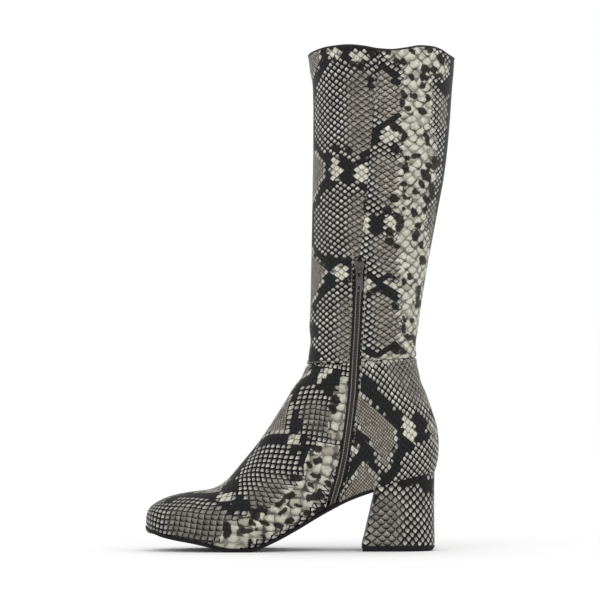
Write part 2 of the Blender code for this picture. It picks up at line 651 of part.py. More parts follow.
def make_pull(frame, axle_height, collection, material):
    """The pull tab, with its origin on its hinge line in the slider's crown."""
    tab = rounded_outline(PULL_HALF - 0.5, PULL_HALF, PULL_BAR / 2, PULL_BAR / 2 - PULL_LENGTH, 1.4)
    window_top = -PULL_BAR / 2
    window = rounded_outline(PULL_WINDOW_HALF, PULL_WINDOW_HALF, window_top, window_top - PULL_WINDOW_LENGTH, 0.5)
    eye_middle = PULL_BAR / 2 - PULL_LENGTH + 3.2
    eye = rounded_outline(PULL_EYE, PULL_EYE, eye_middle + PULL_EYE, eye_middle - PULL_EYE, 0.3)
    builder = plate("zip_pull", [tab, window[::-1], eye[::-1]], PULL_THICK, collection)
    pull = add_mesh("zip_pull", builder, collection, material)
    hinge = bpy.data.objects.new("zip_pull_hinge", None)
    collection.objects.link(hinge)
    hinge.matrix_world = frame @ Matrix.Translation(Vector((0, 0.8, axle_height)) * MM)
    pull.parent = hinge
    return pull


LINES = side_view_lines()


def main():
    clear_scene()
    boot = new_collection("knee_boot")
    cutters = new_collection("cutters")
    print_skin = new_material("printed_stretch", PRINT_COLOUR, 0.5)
    rubber = new_material("black_rubber", BLACK_RUBBER, 0.55)
    lining_board = new_material("insole_board", INSOLE_COLOUR, 0.8)
    zip_nylon = new_material("zip_nylon", ZIP_COLOUR, 0.6)
    metal = new_material("gunmetal", GUNMETAL, 0.35, 0.9)

    upper = make_upper(boot, print_skin)
    shaft = make_shaft(boot, print_skin)
    make_outsole(boot, rubber)
    make_insole(boot, lining_board)
    make_heel(boot, print_skin, rubber)
    slot = make_zip(boot, cutters, zip_nylon)
    cut(upper, slot)
    cut(shaft, slot)
    frame, axle_height = make_slider(boot, cutters, metal)
    make_pull(frame, axle_height, boot, metal)


main()
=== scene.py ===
import math
from functools import partial

import bmesh
import bpy
import numpy as np
from mathutils import Matrix, Vector


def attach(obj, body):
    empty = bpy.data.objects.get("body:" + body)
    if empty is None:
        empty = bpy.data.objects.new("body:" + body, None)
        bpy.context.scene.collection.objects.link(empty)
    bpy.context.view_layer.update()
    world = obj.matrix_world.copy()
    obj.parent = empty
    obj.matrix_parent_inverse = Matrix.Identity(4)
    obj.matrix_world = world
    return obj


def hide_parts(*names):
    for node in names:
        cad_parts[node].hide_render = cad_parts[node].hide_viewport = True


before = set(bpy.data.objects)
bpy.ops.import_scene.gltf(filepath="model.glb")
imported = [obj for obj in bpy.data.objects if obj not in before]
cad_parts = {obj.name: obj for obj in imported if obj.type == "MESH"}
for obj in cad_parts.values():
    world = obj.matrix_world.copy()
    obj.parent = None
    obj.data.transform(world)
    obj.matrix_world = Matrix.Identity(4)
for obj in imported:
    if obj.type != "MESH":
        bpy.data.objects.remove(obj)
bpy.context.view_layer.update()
mm = 0.001

# The last in millimetres, one row a section, from the toe over the instep and round the heel to the topline
(ridgeX, ridgeZ, baseX, baseZ, middleY, innerHalf, outerHalf, innerSole, outerSole,
 widestAt, squareness) = range(11)
lastSections = np.array([
    (-126.1, 27.1, -126.1, 21.1, -4.0, 0.0, 0.0, 0.0, 0.0, 0.3, 2.2),
    (-125.1, 31.2, -125.1, 19.5, -4.0, 9.0, 9.0, 8.0, 8.0, 0.3, 2.2),
    (-122.8, 35.3, -122.8, 17.8, -4.0, 16.5, 16.5, 15.0, 15.0, 0.3, 2.2),
    (-118.7, 38.7, -118.7, 17.0, -3.8, 23.0, 23.0, 21.5, 21.5, 0.3, 2.2),
    (-112.1, 42.3, -112.1, 14.7, -3.5, 29.0, 28.8, 27.5, 27.3, 0.29, 2.2),
    (-101.5, 45.8, -101.5, 12.3, -3.0, 34.0, 34.2, 32.5, 32.6, 0.28, 2.2),
    (-88.4, 48.2, -87.5, 9.8, -2.3, 37.5, 38.3, 36.0, 36.7, 0.27, 2.2),
    (-75.2, 49.8, -73.5, 6.6, -1.5, 40.0, 41.3, 38.5, 39.7, 0.26, 2.2),
    (-67.0, 52.5, -64.5, 4.4, -1.0, 41.4, 42.7, 39.8, 41.0, 0.25, 2.15),
    (-58.8, 58.7, -55.0, 2.9, -0.6, 42.2, 43.5, 40.4, 41.8, 0.23, 2.1),
    (-49.0, 70.1, -41.5, 2.9, -0.2, 42.0, 43.6, 39.6, 41.8, 0.21, 2.05),
    (-35.9, 86.1, -22.8, 9.7, 0.0, 40.2, 42.4, 36.6, 40.2, 0.19, 2.0),
    (-22.8, 105.0, -3.1, 20.0, 0.3, 37.4, 40.2, 32.2, 37.2, 0.19, 2.0),
    (-10.5, 124.7, 18.2, 32.6, 0.5, 35.4, 37.6, 28.8, 34.0, 0.2, 2.0),
    (-3.0, 137.0, 41.2, 44.5, 0.4, 34.4, 35.8, 27.8, 31.2, 0.22, 2.0),
    (1.0, 142.7, 64.2, 52.7, 0.2, 33.8, 34.4, 28.6, 29.6, 0.25, 2.0),
    (2.9, 145.6, 82.0, 57.9, 0.0, 33.3, 33.6, 28.4, 28.6, 0.28, 2.0),
    (3.9, 147.1, 96.25, 61.3, 0.0, 32.9, 33.0, 24.7, 24.7, 0.31, 2.0),
    (4.4, 148.0, 103.8, 63.0, 0.0, 32.7, 32.7, 18.3, 18.3, 0.33, 2.0),
    (4.75, 148.55, 108.0, 64.1, 0.0, 32.6, 32.6, 11.6, 11.6, 0.34, 2.0),
    (4.95, 148.9, 110.0, 64.5, 0.0, 32.5, 32.5, 5.4, 5.4, 0.34, 2.0),
    (5.05, 149.1, 110.5, 64.8, 0.0, 32.5, 32.5, 0.0, 0.0, 0.35, 2.0),
    (5.3, 149.5, 113.2, 75.5, 0.0, 32.4, 32.4, 0.0, 0.0, 0.37, 2.0),
    (5.5, 150.0, 113.8, 87.0, 0.0, 32.4, 32.4, 0.0, 0.0, 0.4, 2.0),
    (5.7, 150.4, 112.6, 100.1, 0.0, 32.6, 32.6, 0.0, 0.0, 0.43, 2.0),
    (5.9, 150.8, 108.5, 113.6, 0.0, 33.0, 33.0, 0.0, 0.0, 0.45, 2.0),
    (6.05, 151.1, 103.6, 128.0, 0.0, 33.6, 33.6, 0.0, 0.0, 0.47, 2.0),
    (6.2, 151.4, 98.5, 142.3, 0.0, 34.2, 34.2, 0.0, 0.0, 0.48, 2.0),
    (6.3, 151.7, 95.1, 157.9, 0.0, 34.8, 34.8, 0.0, 0.0, 0.49, 2.0),
    (7.6, 164.6, 95.4, 167.3, 0.0, 35.5, 35.5, 0.0, 0.0, 0.49, 2.0),
    (8.2, 185.4, 97.5, 187.0, 0.0, 37.4, 37.4, 0.0, 0.0, 0.49, 2.0),
    (8.7, 210.0, 101.0, 211.6, 0.0, 40.6, 40.6, 0.0, 0.0, 0.49, 2.0),
    (9.2, 234.6, 104.9, 234.6, 0.0, 43.8, 43.8, 0.0, 0.0, 0.49, 2.0),
    (9.7, 259.2, 109.4, 259.2, 0.0, 46.8, 46.8, 0.0, 0.0, 0.48, 2.0),
    (10.1, 283.8, 114.0, 283.8, 0.0, 49.4, 49.4, 0.0, 0.0, 0.48, 2.0),
    (10.5, 308.4, 118.4, 308.4, 0.0, 51.6, 51.6, 0.0, 0.0, 0.48, 2.0),
    (10.8, 333.0, 121.3, 333.0, 0.0, 53.0, 53.0, 0.0, 0.0, 0.48, 2.0),
    (10.9, 357.6, 123.3, 357.6, 0.0, 54.0, 54.0, 0.0, 0.0, 0.48, 2.0),
    (10.5, 378.6, 124.7, 378.6, 0.0, 54.6, 54.6, 0.0, 0.0, 0.48, 2.05),
    (8.2, 392.6, 125.9, 391.6, 0.0, 55.0, 55.0, 0.0, 0.0, 0.48, 2.1),
    (6.7, 405.1, 126.6, 403.1, 0.0, 55.4, 55.4, 0.0, 0.0, 0.48, 2.1),
])
# Level slices through heel and ankle: height, half width, lengths over which back and front round off
sliceZ, sliceHalf, backRound, frontRound = range(4)
levelSlices = np.array([
    (50.0, 31.0, 30.0, 86.0), (66.0, 31.6, 30.0, 80.0), (80.0, 32.1, 30.5, 73.0), (100.0, 32.6, 32.0, 62.0),
    (120.0, 33.2, 35.5, 54.0), (140.0, 34.0, 40.0, 48.0), (158.0, 34.9, 44.0, 46.0),
])
last = {
    "toeRow": 7, "ballRow": 8, "heelBackRow": 21, "seamRow": 28, "topRow": 40,   # rows of lastSections
    "blendRows": (12.5, 17.0), "backShare": 0.48, "backPower": 2.15, "soleTuck": 0.08, "soleTuckHeight": 14.0,
    "legFrom": 140.0, "legBlend": 18.0, "runOn": 60.0, "sliceGap": 8.0, "ankleGap": 0.3,
}
seamRow, topRow = float(last["seamRow"]), float(last["topRow"])
ankleSeam = {"height": 151.7, "slope": 0.0698, "frontX": 6.3}
# Rise of the topline by share of the way round one side, front to back
toplineRise = np.array([
    (0.0, 0.0), (0.1, 2.6), (0.24, 6.4), (0.34, 7.6), (0.41, 6.6), (0.48, 4.5), (0.535, 4.0), (0.6, 5.5),
    (0.68, 7.9), (0.74, 7.6), (0.8, 5.7), (0.865, 2.2), (0.93, 0.5), (1.0, 0.0),
])
# Middle line of the zip, and above it the seam that joins the two shaft panels, as x z
seamLine = np.array([
    (19.6, 16.0), (25.6, 36.3), (31.9, 58.0), (36.0, 76.1), (38.7, 93.7), (41.0, 111.3), (43.0, 129.4),
    (44.5, 156.0), (46.1, 182.7), (47.5, 215.5), (48.4, 240.0), (50.8, 260.0), (54.4, 295.0), (58.1, 340.0),
    (64.8, 410.0), (66.2, 425.0),
])
zipSlot = {
    "half": 4.0, "foot": 36.3, "top": 240.0, "closesFrom": 233.0, "closedAt": 241.0, "ease": 1.04,
    "seamHalf": 0.02, "seamDepth": 0.45,
}


# Smooth curves through the rows of a table, read at row numbers with a fraction
def smoothRows(table, places):
    table = np.asarray(table, float)
    steps = np.diff(table, axis=0)
    before, after = steps[:-1], steps[1:]
    slopes = np.zeros_like(table)
    sameWay = before * after > 0
    slopes[1:-1] = np.where(sameWay, 2 * before * after / np.where(sameWay, before + after, 1.0), 0.0)
    slopes[0], slopes[-1] = steps[0], steps[-1]
    places = np.atleast_1d(np.asarray(places, float))
    row = np.clip(np.floor(places).astype(int), 0, len(table) - 2)
    f = (places - row)[:, None]
    near = table[row] * (1 + 2 * f) * (1 - f) ** 2 + slopes[row] * f * (1 - f) ** 2
    return near + table[row + 1] * f**2 * (3 - 2 * f) + slopes[row + 1] * f**2 * (f - 1)


def ease(value):
    value = np.clip(value, 0, 1)
    return value * value * (3 - 2 * value)


# Lines of the side view by height, and half widths by height, for heel, ankle and leg
def sideLines():
    ridge = smoothRows(lastSections, np.linspace(last["ballRow"], topRow, 600))
    back = smoothRows(lastSections, np.linspace(last["heelBackRow"], topRow, 400))
    leg = smoothRows(lastSections, np.linspace(seamRow, topRow, 200))
    sole = smoothRows(lastSections, np.linspace(last["ballRow"], last["heelBackRow"], 300))
    foot = smoothRows(levelSlices, np.linspace(0, len(levelSlices) - 1, 120))
    back = np.concatenate([[back[0] + last["runOn"] * (back[0] - back[1])], back])   # straight on below
    level = (leg[:, ridgeZ] + leg[:, baseZ]) / 2
    above = level > foot[-1, sliceZ] + last["sliceGap"]
    legHalf = np.stack([level[above], leg[above, innerHalf]], axis=1)
    half = np.concatenate([foot[:, [sliceZ, sliceHalf]], legHalf])
    return ridge[:, [ridgeZ, ridgeX]], back[:, [baseZ, baseX]], half, foot, sole[:, [baseX, baseZ]]


ridgeLine, backLine, halfLine, roundLine, soleLine = sideLines()


# Half width of heel, ankle and leg over points of the side view
def levelHalfWidth(x, z):
    front = np.interp(z, ridgeLine[:, 0], ridgeLine[:, 1])
    back = np.interp(z, backLine[:, 0], backLine[:, 1])
    span = np.maximum(back - front, 1.0)
    leg = np.clip((z - last["legFrom"]) / last["legBlend"], 0, 1)
    share = last["backShare"]
    behindOver = np.interp(z, roundLine[:, sliceZ], roundLine[:, backRound]) * (1 - leg) + share * span * leg
    aheadOver = np.interp(z, roundLine[:, sliceZ], roundLine[:, frontRound]) * (1 - leg)
    aheadOver = aheadOver + (1 - share) * span * leg
    power = last["backPower"] + (2.0 - last["backPower"]) * leg
    behind = np.clip(1 - (back - x) / behindOver, 0, 1)
    ahead = np.clip(1 - (x - front) / aheadOver, 0, 1)
    rise = (z - np.interp(x, soleLine[:, 0], soleLine[:, 1])) / last["soleTuckHeight"]
    tuckedIn = 1 - last["soleTuck"] * np.clip(1 - rise, 0, 1) ** 2
    half = np.interp(z, halfLine[:, 0], halfLine[:, 1]) * tuckedIn
    return half * (1 - behind**power) ** (1 / power) * np.sqrt(1 - ahead**2)


# Half width of the boot at a share of the way from the base of a section to its ridge
def wallHalfWidth(place, section, share, side):
    full = section[:, innerHalf if side < 0 else outerHalf]
    base = section[:, innerSole if side < 0 else outerSole]
    widest, power = section[:, widestAt], section[:, squareness]
    above = np.clip((share - widest) / (1 - widest), 0, 1)
    below = np.clip((widest - share) / widest, 0, 1)
    tuck = np.maximum(0.0, 1 - (base / np.maximum(full, 1e-6)) ** power) ** (1 / power)
    over = np.maximum(0.0, 1 - above**power) ** (1 / power)
    footWidth = full * over * np.maximum(0.0, 1 - (tuck * below) ** power) ** (1 / power)
    first, final = last["blendRows"]
    blend = ease((place - first) / (final - first))
    x = section[:, baseX] + share * (section[:, ridgeX] - section[:, baseX])
    z = section[:, baseZ] + share * (section[:, ridgeZ] - section[:, baseZ])
    width = (1 - blend) * footWidth + blend * levelHalfWidth(x, z)
    return np.where((share >= 1) | ((share <= 0) & (place >= last["heelBackRow"])), 0.0, width)


# Points on the inner wall over x z of the side view, standing proud of it, and the way out of the wall
def innerWall(x, z, proud=0.0):
    x, z = np.atleast_1d(np.asarray(x, float)), np.atleast_1d(np.asarray(z, float))

    def wallY(x, z):
        low, high = np.full(len(x), float(last["ballRow"])), np.full(len(x), topRow)
        for _ in range(40):   # halves the span of rows until the row through each point is left
            middle = (low + high) / 2
            s = smoothRows(lastSections, middle)
            ahead = (x - s[:, baseX]) * (s[:, ridgeZ] - s[:, baseZ])
            ahead = ahead - (z - s[:, baseZ]) * (s[:, ridgeX] - s[:, baseX])
            low, high = np.where(ahead > 0, middle, low), np.where(ahead > 0, high, middle)
        s = smoothRows(lastSections, low)
        alongX, alongZ = s[:, ridgeX] - s[:, baseX], s[:, ridgeZ] - s[:, baseZ]
        share = ((x - s[:, baseX]) * alongX + (z - s[:, baseZ]) * alongZ) / (alongX**2 + alongZ**2)
        return s[:, middleY] - wallHalfWidth(low, s, share, -1)

    y = wallY(x, z)
    slopeX, slopeZ = (wallY(x + 1, z) - wallY(x - 1, z)) / 2, (wallY(x, z + 1) - wallY(x, z - 1)) / 2
    normal = np.stack([slopeX, -np.ones(len(x)), slopeZ], axis=1)
    normal /= np.linalg.norm(normal, axis=1)[:, None]
    return np.stack([x, y, z], axis=1) + normal * np.reshape(proud, (-1, 1)), normal


def toplineWave(roundShare):
    dense = smoothRows(toplineRise, np.linspace(0, len(toplineRise) - 1, 240))
    return np.interp(roundShare, dense[:, 0], dense[:, 1])


# How far the nose of the toe reaches out to the left when its skin is laid flat
def toeUnroll():
    places = np.linspace(0, last["toeRow"], 141)
    s = smoothRows(lastSections, places)
    steps = np.sqrt(np.diff(s[:, ridgeX]) ** 2 + np.diff(s[:, innerHalf]) ** 2)
    flat = s[-1, ridgeX] - np.concatenate([np.cumsum(steps[::-1])[::-1], [0]])
    return places, flat - s[:, ridgeX]


toePlaces, toeShift = toeUnroll()
curveX, curveY, curveZ, curveFlatX, curveFlatZ, curveRun = range(6)   # columns of a wall line


# One wall line of the boot from the base (sole edge or back) to the ridge (front), and the same laid flat
def wallCurve(place, side):
    s = smoothRows(lastSections, place)
    share = 0.5 - 0.5 * np.cos(np.linspace(0, math.pi, 280))
    section = s[0]
    x = section[baseX] + share * (section[ridgeX] - section[baseX])
    z = section[baseZ] + share * (section[ridgeZ] - section[baseZ])
    half = wallHalfWidth(np.full(len(share), place), np.repeat(s, len(share), axis=0), share, side)
    y = section[middleY] + side * half
    run = np.concatenate([[0], np.cumsum(np.sqrt(np.diff(x) ** 2 + np.diff(y) ** 2 + np.diff(z) ** 2))])
    if place < seamRow:
        widest = section[widestAt]
        along = np.array([section[ridgeX] - section[baseX], section[ridgeZ] - section[baseZ]])
        along /= np.linalg.norm(along)
        out = run - np.interp(widest, share, run)
        flatX = np.interp(widest, share, x) + np.interp(place, toePlaces, toeShift) + along[0] * out
        flatZ = np.interp(widest, share, z) + along[1] * out
        lifted = z
    else:
        leg = (place - seamRow) / (topRow - seamRow)
        flatX, flatZ = run[-1] - run, z
        lifted = z + leg**4 * toplineWave(1 - run / run[-1]) + last["ankleGap"] * (1 - leg)
    return np.stack([x, y, lifted, flatX, flatZ, run], axis=1)


# The first columns of a wall line at distances along it
def readCurve(curve, runs, columns):
    return np.stack([np.interp(runs, curve[:, curveRun], curve[:, k]) for k in range(columns)], axis=-1)


def slotHalf(z, side):
    if side > 0:
        return np.full_like(z, zipSlot["seamHalf"])
    return np.interp(z, [zipSlot["closesFrom"], zipSlot["closedAt"]], [zipSlot["half"], zipSlot["seamHalf"]])


# Distance along a wall line to the edge of the zip's slot, or of the seam above it
def slotEdge(curve, side, way):
    x, z, run = curve[:, curveX], curve[:, curveZ], curve[:, curveRun]
    middle = np.interp(z, seamLine[:, 1], seamLine[:, 0])
    behind = x - middle - way * zipSlot["ease"] * slotHalf(z, side)
    hits = np.nonzero(behind > 0)[0]
    if len(hits) == 0:
        return 0.0
    k = hits[-1]
    if k == len(run) - 1:
        return run[-1]
    return run[k] + behind[k] / (behind[k] - behind[k + 1]) * (run[k + 1] - run[k])


# Where a panel starts at its seam and ends at the middle of the boot, along a wall line
def panelEnds(curve, side, part):
    if part == "front":
        return slotEdge(curve, side, -1), curve[-1, curveRun]
    return slotEdge(curve, side, 1), 0.0


panelEdge = {
    "steps": np.array([0.0, 0.4, 0.9, 1.5, 2.3, 3.3]),   # points kept close together beside a seam
    "fullLength": 14.0, "groove": 0.9, "grooveWidth": 0.8, "roll": 0.3, "rollAt": 2.6, "rollWidth": 1.6,
    "pucker": 0.22, "puckerReach": 7.0, "puckerLength": 8.5, "ankleSway": (1.7, 17.0),
    "zipPucker": 0.6, "zipPuckerReach": 6.0, "zipSway": (1.3, 13.0),
    "soleTurn": 0.35, "soleTurnWidth": 0.8, "wall": 1.5,
}


# Cross-section of the sewn edge of a panel: it dives into the seam and swells a little beside it
def edgeForm(distance):
    e = panelEdge
    dive = -e["groove"] * np.exp(-((distance / e["grooveWidth"]) ** 2))
    return dive + e["roll"] * np.exp(-(((distance - e["rollAt"]) / e["rollWidth"]) ** 2))


# Ripples that the sewing draws up along a seam, not quite even
def puckers(along, sway):
    drift = sway[0] * np.sin(along / sway[1])
    return panelEdge["pucker"] * np.sin(2 * math.pi * along / panelEdge["puckerLength"] + drift)


# Half of a panel as a grid of rows from its seam to the middle of the boot, and the same laid flat
def halfPanel(places, side, part, count):
    e = panelEdge
    rows = []
    for place in places:
        curve = wallCurve(place, side)
        near, far = panelEnds(curve, side, part)
        way = 1 if far > near else -1
        length = abs(far - near)
        steps = e["steps"] * min(1.0, length / e["fullLength"])
        stations = np.concatenate([steps, np.linspace(steps[-1], length, count)[1:]])
        row = readCurve(curve, near + way * stations, 5)
        sewn = 1.0 if near > 0.01 else 0.0   # below the slot's foot a panel ends at the sole
        row = np.concatenate([row, stations[:, None], np.full((len(stations), 1), sewn)], axis=1)
        if part == "back" and place >= seamRow:
            row[:, curveFlatX] -= np.interp(near, curve[:, curveRun], curve[:, curveFlatX])
        rows.append(row)
    grid = np.array(rows)
    points, flat, fromSlot, sewn = grid[:, :, :3].copy(), grid[:, :, 3:5], grid[:, :, 5], grid[:, :, 6]
    normal = np.cross(np.gradient(points, axis=0), np.gradient(points, axis=1))
    normal /= np.linalg.norm(normal, axis=2)[:, :, None] + 1e-12
    outward = normal[:, :, 1].mean() * side
    normal *= np.sign(outward)
    x, z = points[:, :, 0], points[:, :, 2]
    ankle = np.abs(z - (ankleSeam["height"] + ankleSeam["slope"] * (x - ankleSeam["frontX"])))
    offset = edgeForm(ankle) + puckers(flat[:, :, 0], e["ankleSway"]) * np.exp(-ankle / e["puckerReach"])
    shallow = np.where(slotHalf(z, side) < 1, zipSlot["seamDepth"], 1.0)
    turnedIn = -e["soleTurn"] * np.exp(-((fromSlot / e["soleTurnWidth"]) ** 2))
    offset += np.where(sewn > 0, edgeForm(fromSlot) * shallow, turnedIn)
    besideZip = sewn * shallow * e["zipPucker"] * np.exp(-fromSlot / e["zipPuckerReach"])
    offset += besideZip * puckers(z, e["zipSway"]) + softFolds(x, z)
    return {"points": points + normal * offset[:, :, None], "flat": flat, "flip": outward > 0}


# Soft folds, given one by one: depth and width in mm and the line that each follows in the side view
foldLines = [
    (-0.9, 6.0, [(2.0, 141.0), (16.0, 133.0), (31.0, 131.0)]),
    (0.6, 6.0, [(1.0, 150.0), (18.0, 143.0), (34.0, 142.0)]),
    (-0.8, 6.5, [(9.0, 172.0), (24.0, 165.0), (38.0, 166.0)]),
    (0.5, 7.0, [(9.0, 184.0), (26.0, 177.0), (40.0, 178.0)]),
    (-0.7, 6.0, [(60.0, 140.0), (78.0, 134.0), (97.0, 137.0)]),
    (-0.6, 7.0, [(62.0, 171.0), (80.0, 166.0), (94.0, 170.0)]),
]


def lineDistance(px, py, points, closed=False):
    ends = points[1:] + points[:1] if closed else points[1:]
    best = np.full(np.shape(px), 1e9)
    for (ax, ay), (bx, by) in zip(points, ends):
        dx, dy = bx - ax, by - ay
        t = np.clip(((px - ax) * dx + (py - ay) * dy) / (dx * dx + dy * dy + 1e-9), 0, 1)
        best = np.minimum(best, np.hypot(px - ax - t * dx, py - ay - t * dy))
    return best


def softFolds(x, z):
    return sum(depth * np.exp(-((lineDistance(x, z, line) / width) ** 2)) for depth, width, line in foldLines)


# The print is charted over the side view in units of 0.82 mm, as the camera sees them: x to the right and
# y down, with y 336 at 205 mm above the floor
chart = {"unit": 0.82, "x": 199.75, "y": 336.0, "height": 205.0, "distance": 4000.0, "outside": -60.0}

# Each blotch is a half width and the line it follows, or width 0 and the corners of a patch
shaftFrontChart = {
    "black": [
        (3.0, [(224, 84), (225, 97), (219, 110), (215, 119)]), (1.5, [(214, 122), (213, 156), (214, 176)]),
        (0, [(214, 176), (219, 182), (222, 189), (231, 190), (232, 195), (229, 201), (228.5, 206),
            (231, 209), (234, 215), (240, 217), (237, 221), (230, 223), (225, 227), (221, 231), (219, 236),
            (215, 242), (213, 250), (210, 250), (212, 242), (216, 233), (219, 225), (223, 218), (225, 212),
            (226, 205), (225, 201), (221, 195), (218, 190), (212, 183)]), (2.2, [(212, 250), (212, 280)]),
        (2.5, [(225, 84), (240, 81), (262, 82), (275, 85)]),
        (0, [(213, 280), (219, 289), (228, 291), (235, 297), (232, 302), (233, 310), (237, 316), (236, 319),
            (230, 324), (226, 329), (221, 334), (218, 341), (215, 348), (210, 344), (213, 337), (219, 330),
            (220, 323), (224, 318), (226, 312), (227, 305), (224, 300), (219, 296), (213, 288)]),
        (2.4, [(236, 297), (244, 297), (250, 296), (251, 306), (251, 316), (244, 318)]),
        (0, [(210, 358), (216, 363), (219, 371), (215, 372), (210, 378)]),
        (0, [(209, 383), (215, 384), (219, 389), (220, 400), (209, 400)]),
        (0, [(240, 81), (250, 81), (250, 92), (249, 99), (241, 98), (239, 90)]),
        (0, [(241, 193), (246, 191), (250, 196), (254, 199), (260, 198), (262, 188), (268, 186), (268, 190),
            (265, 200), (255, 201), (255, 205), (253, 210), (258, 215), (258, 218), (244, 218), (240, 216),
            (241, 210), (239, 198)]), (2.5, [(263, 221), (264, 225)]), (2.8, [(269, 117), (270, 124)]),
        (2.4, [(235, 184), (237, 187)]),
    ],
    "core": [
        (11, [(262, 122), (263, 178)]), (8, [(262, 242), (260, 288)]), (7, [(249, 345), (247, 388)]),
    ],
    "weave": [
        (0, [(204, 85), (220, 87), (221, 96), (216, 108), (212, 113), (204, 113)]),
        (0, [(204, 184), (213, 184), (218, 190), (225, 201), (226, 205), (224, 214), (218, 227), (213, 241),
            (204, 241)]),
        (0, [(204, 282), (212, 284), (219, 296), (227, 305), (224, 316), (219, 330), (212, 341), (204, 341)]),
    ],
    "cream": [
        (0, [(229, 84), (236, 83), (240, 88), (239, 94), (236, 97), (231, 93), (228, 90)]),
        (0, [(234, 193), (239, 194), (240, 200), (240, 207), (238, 217), (233, 214), (231, 209), (229, 203),
            (231, 198)]),
        (0, [(235, 302), (238, 299), (243, 302), (247, 305), (248, 308), (246, 312), (247, 316), (240, 314),
            (234, 312), (233, 308)]),
        (0, [(256, 201), (262, 202), (268, 206), (267, 212), (266, 218), (261, 217), (258, 213), (254, 209)]),
        (0, [(251, 89), (256, 88), (262, 88), (268, 93), (268, 97), (258, 100), (251, 97)]),
    ],
    "belly": [],
    "spot": [
        (3.2, [(259, 102), (261, 104)]), (2.6, [(252, 99), (255, 100)]), (2.2, [(263, 97), (268, 98)]),
        (2.4, [(234, 95), (235, 96)]), (3.2, [(271, 87), (273, 92)]), (3.0, [(248, 185), (249, 187)]),
        (2.4, [(265, 238), (265, 248)]), (2.6, [(264, 271), (268, 272)]),
    ],
}
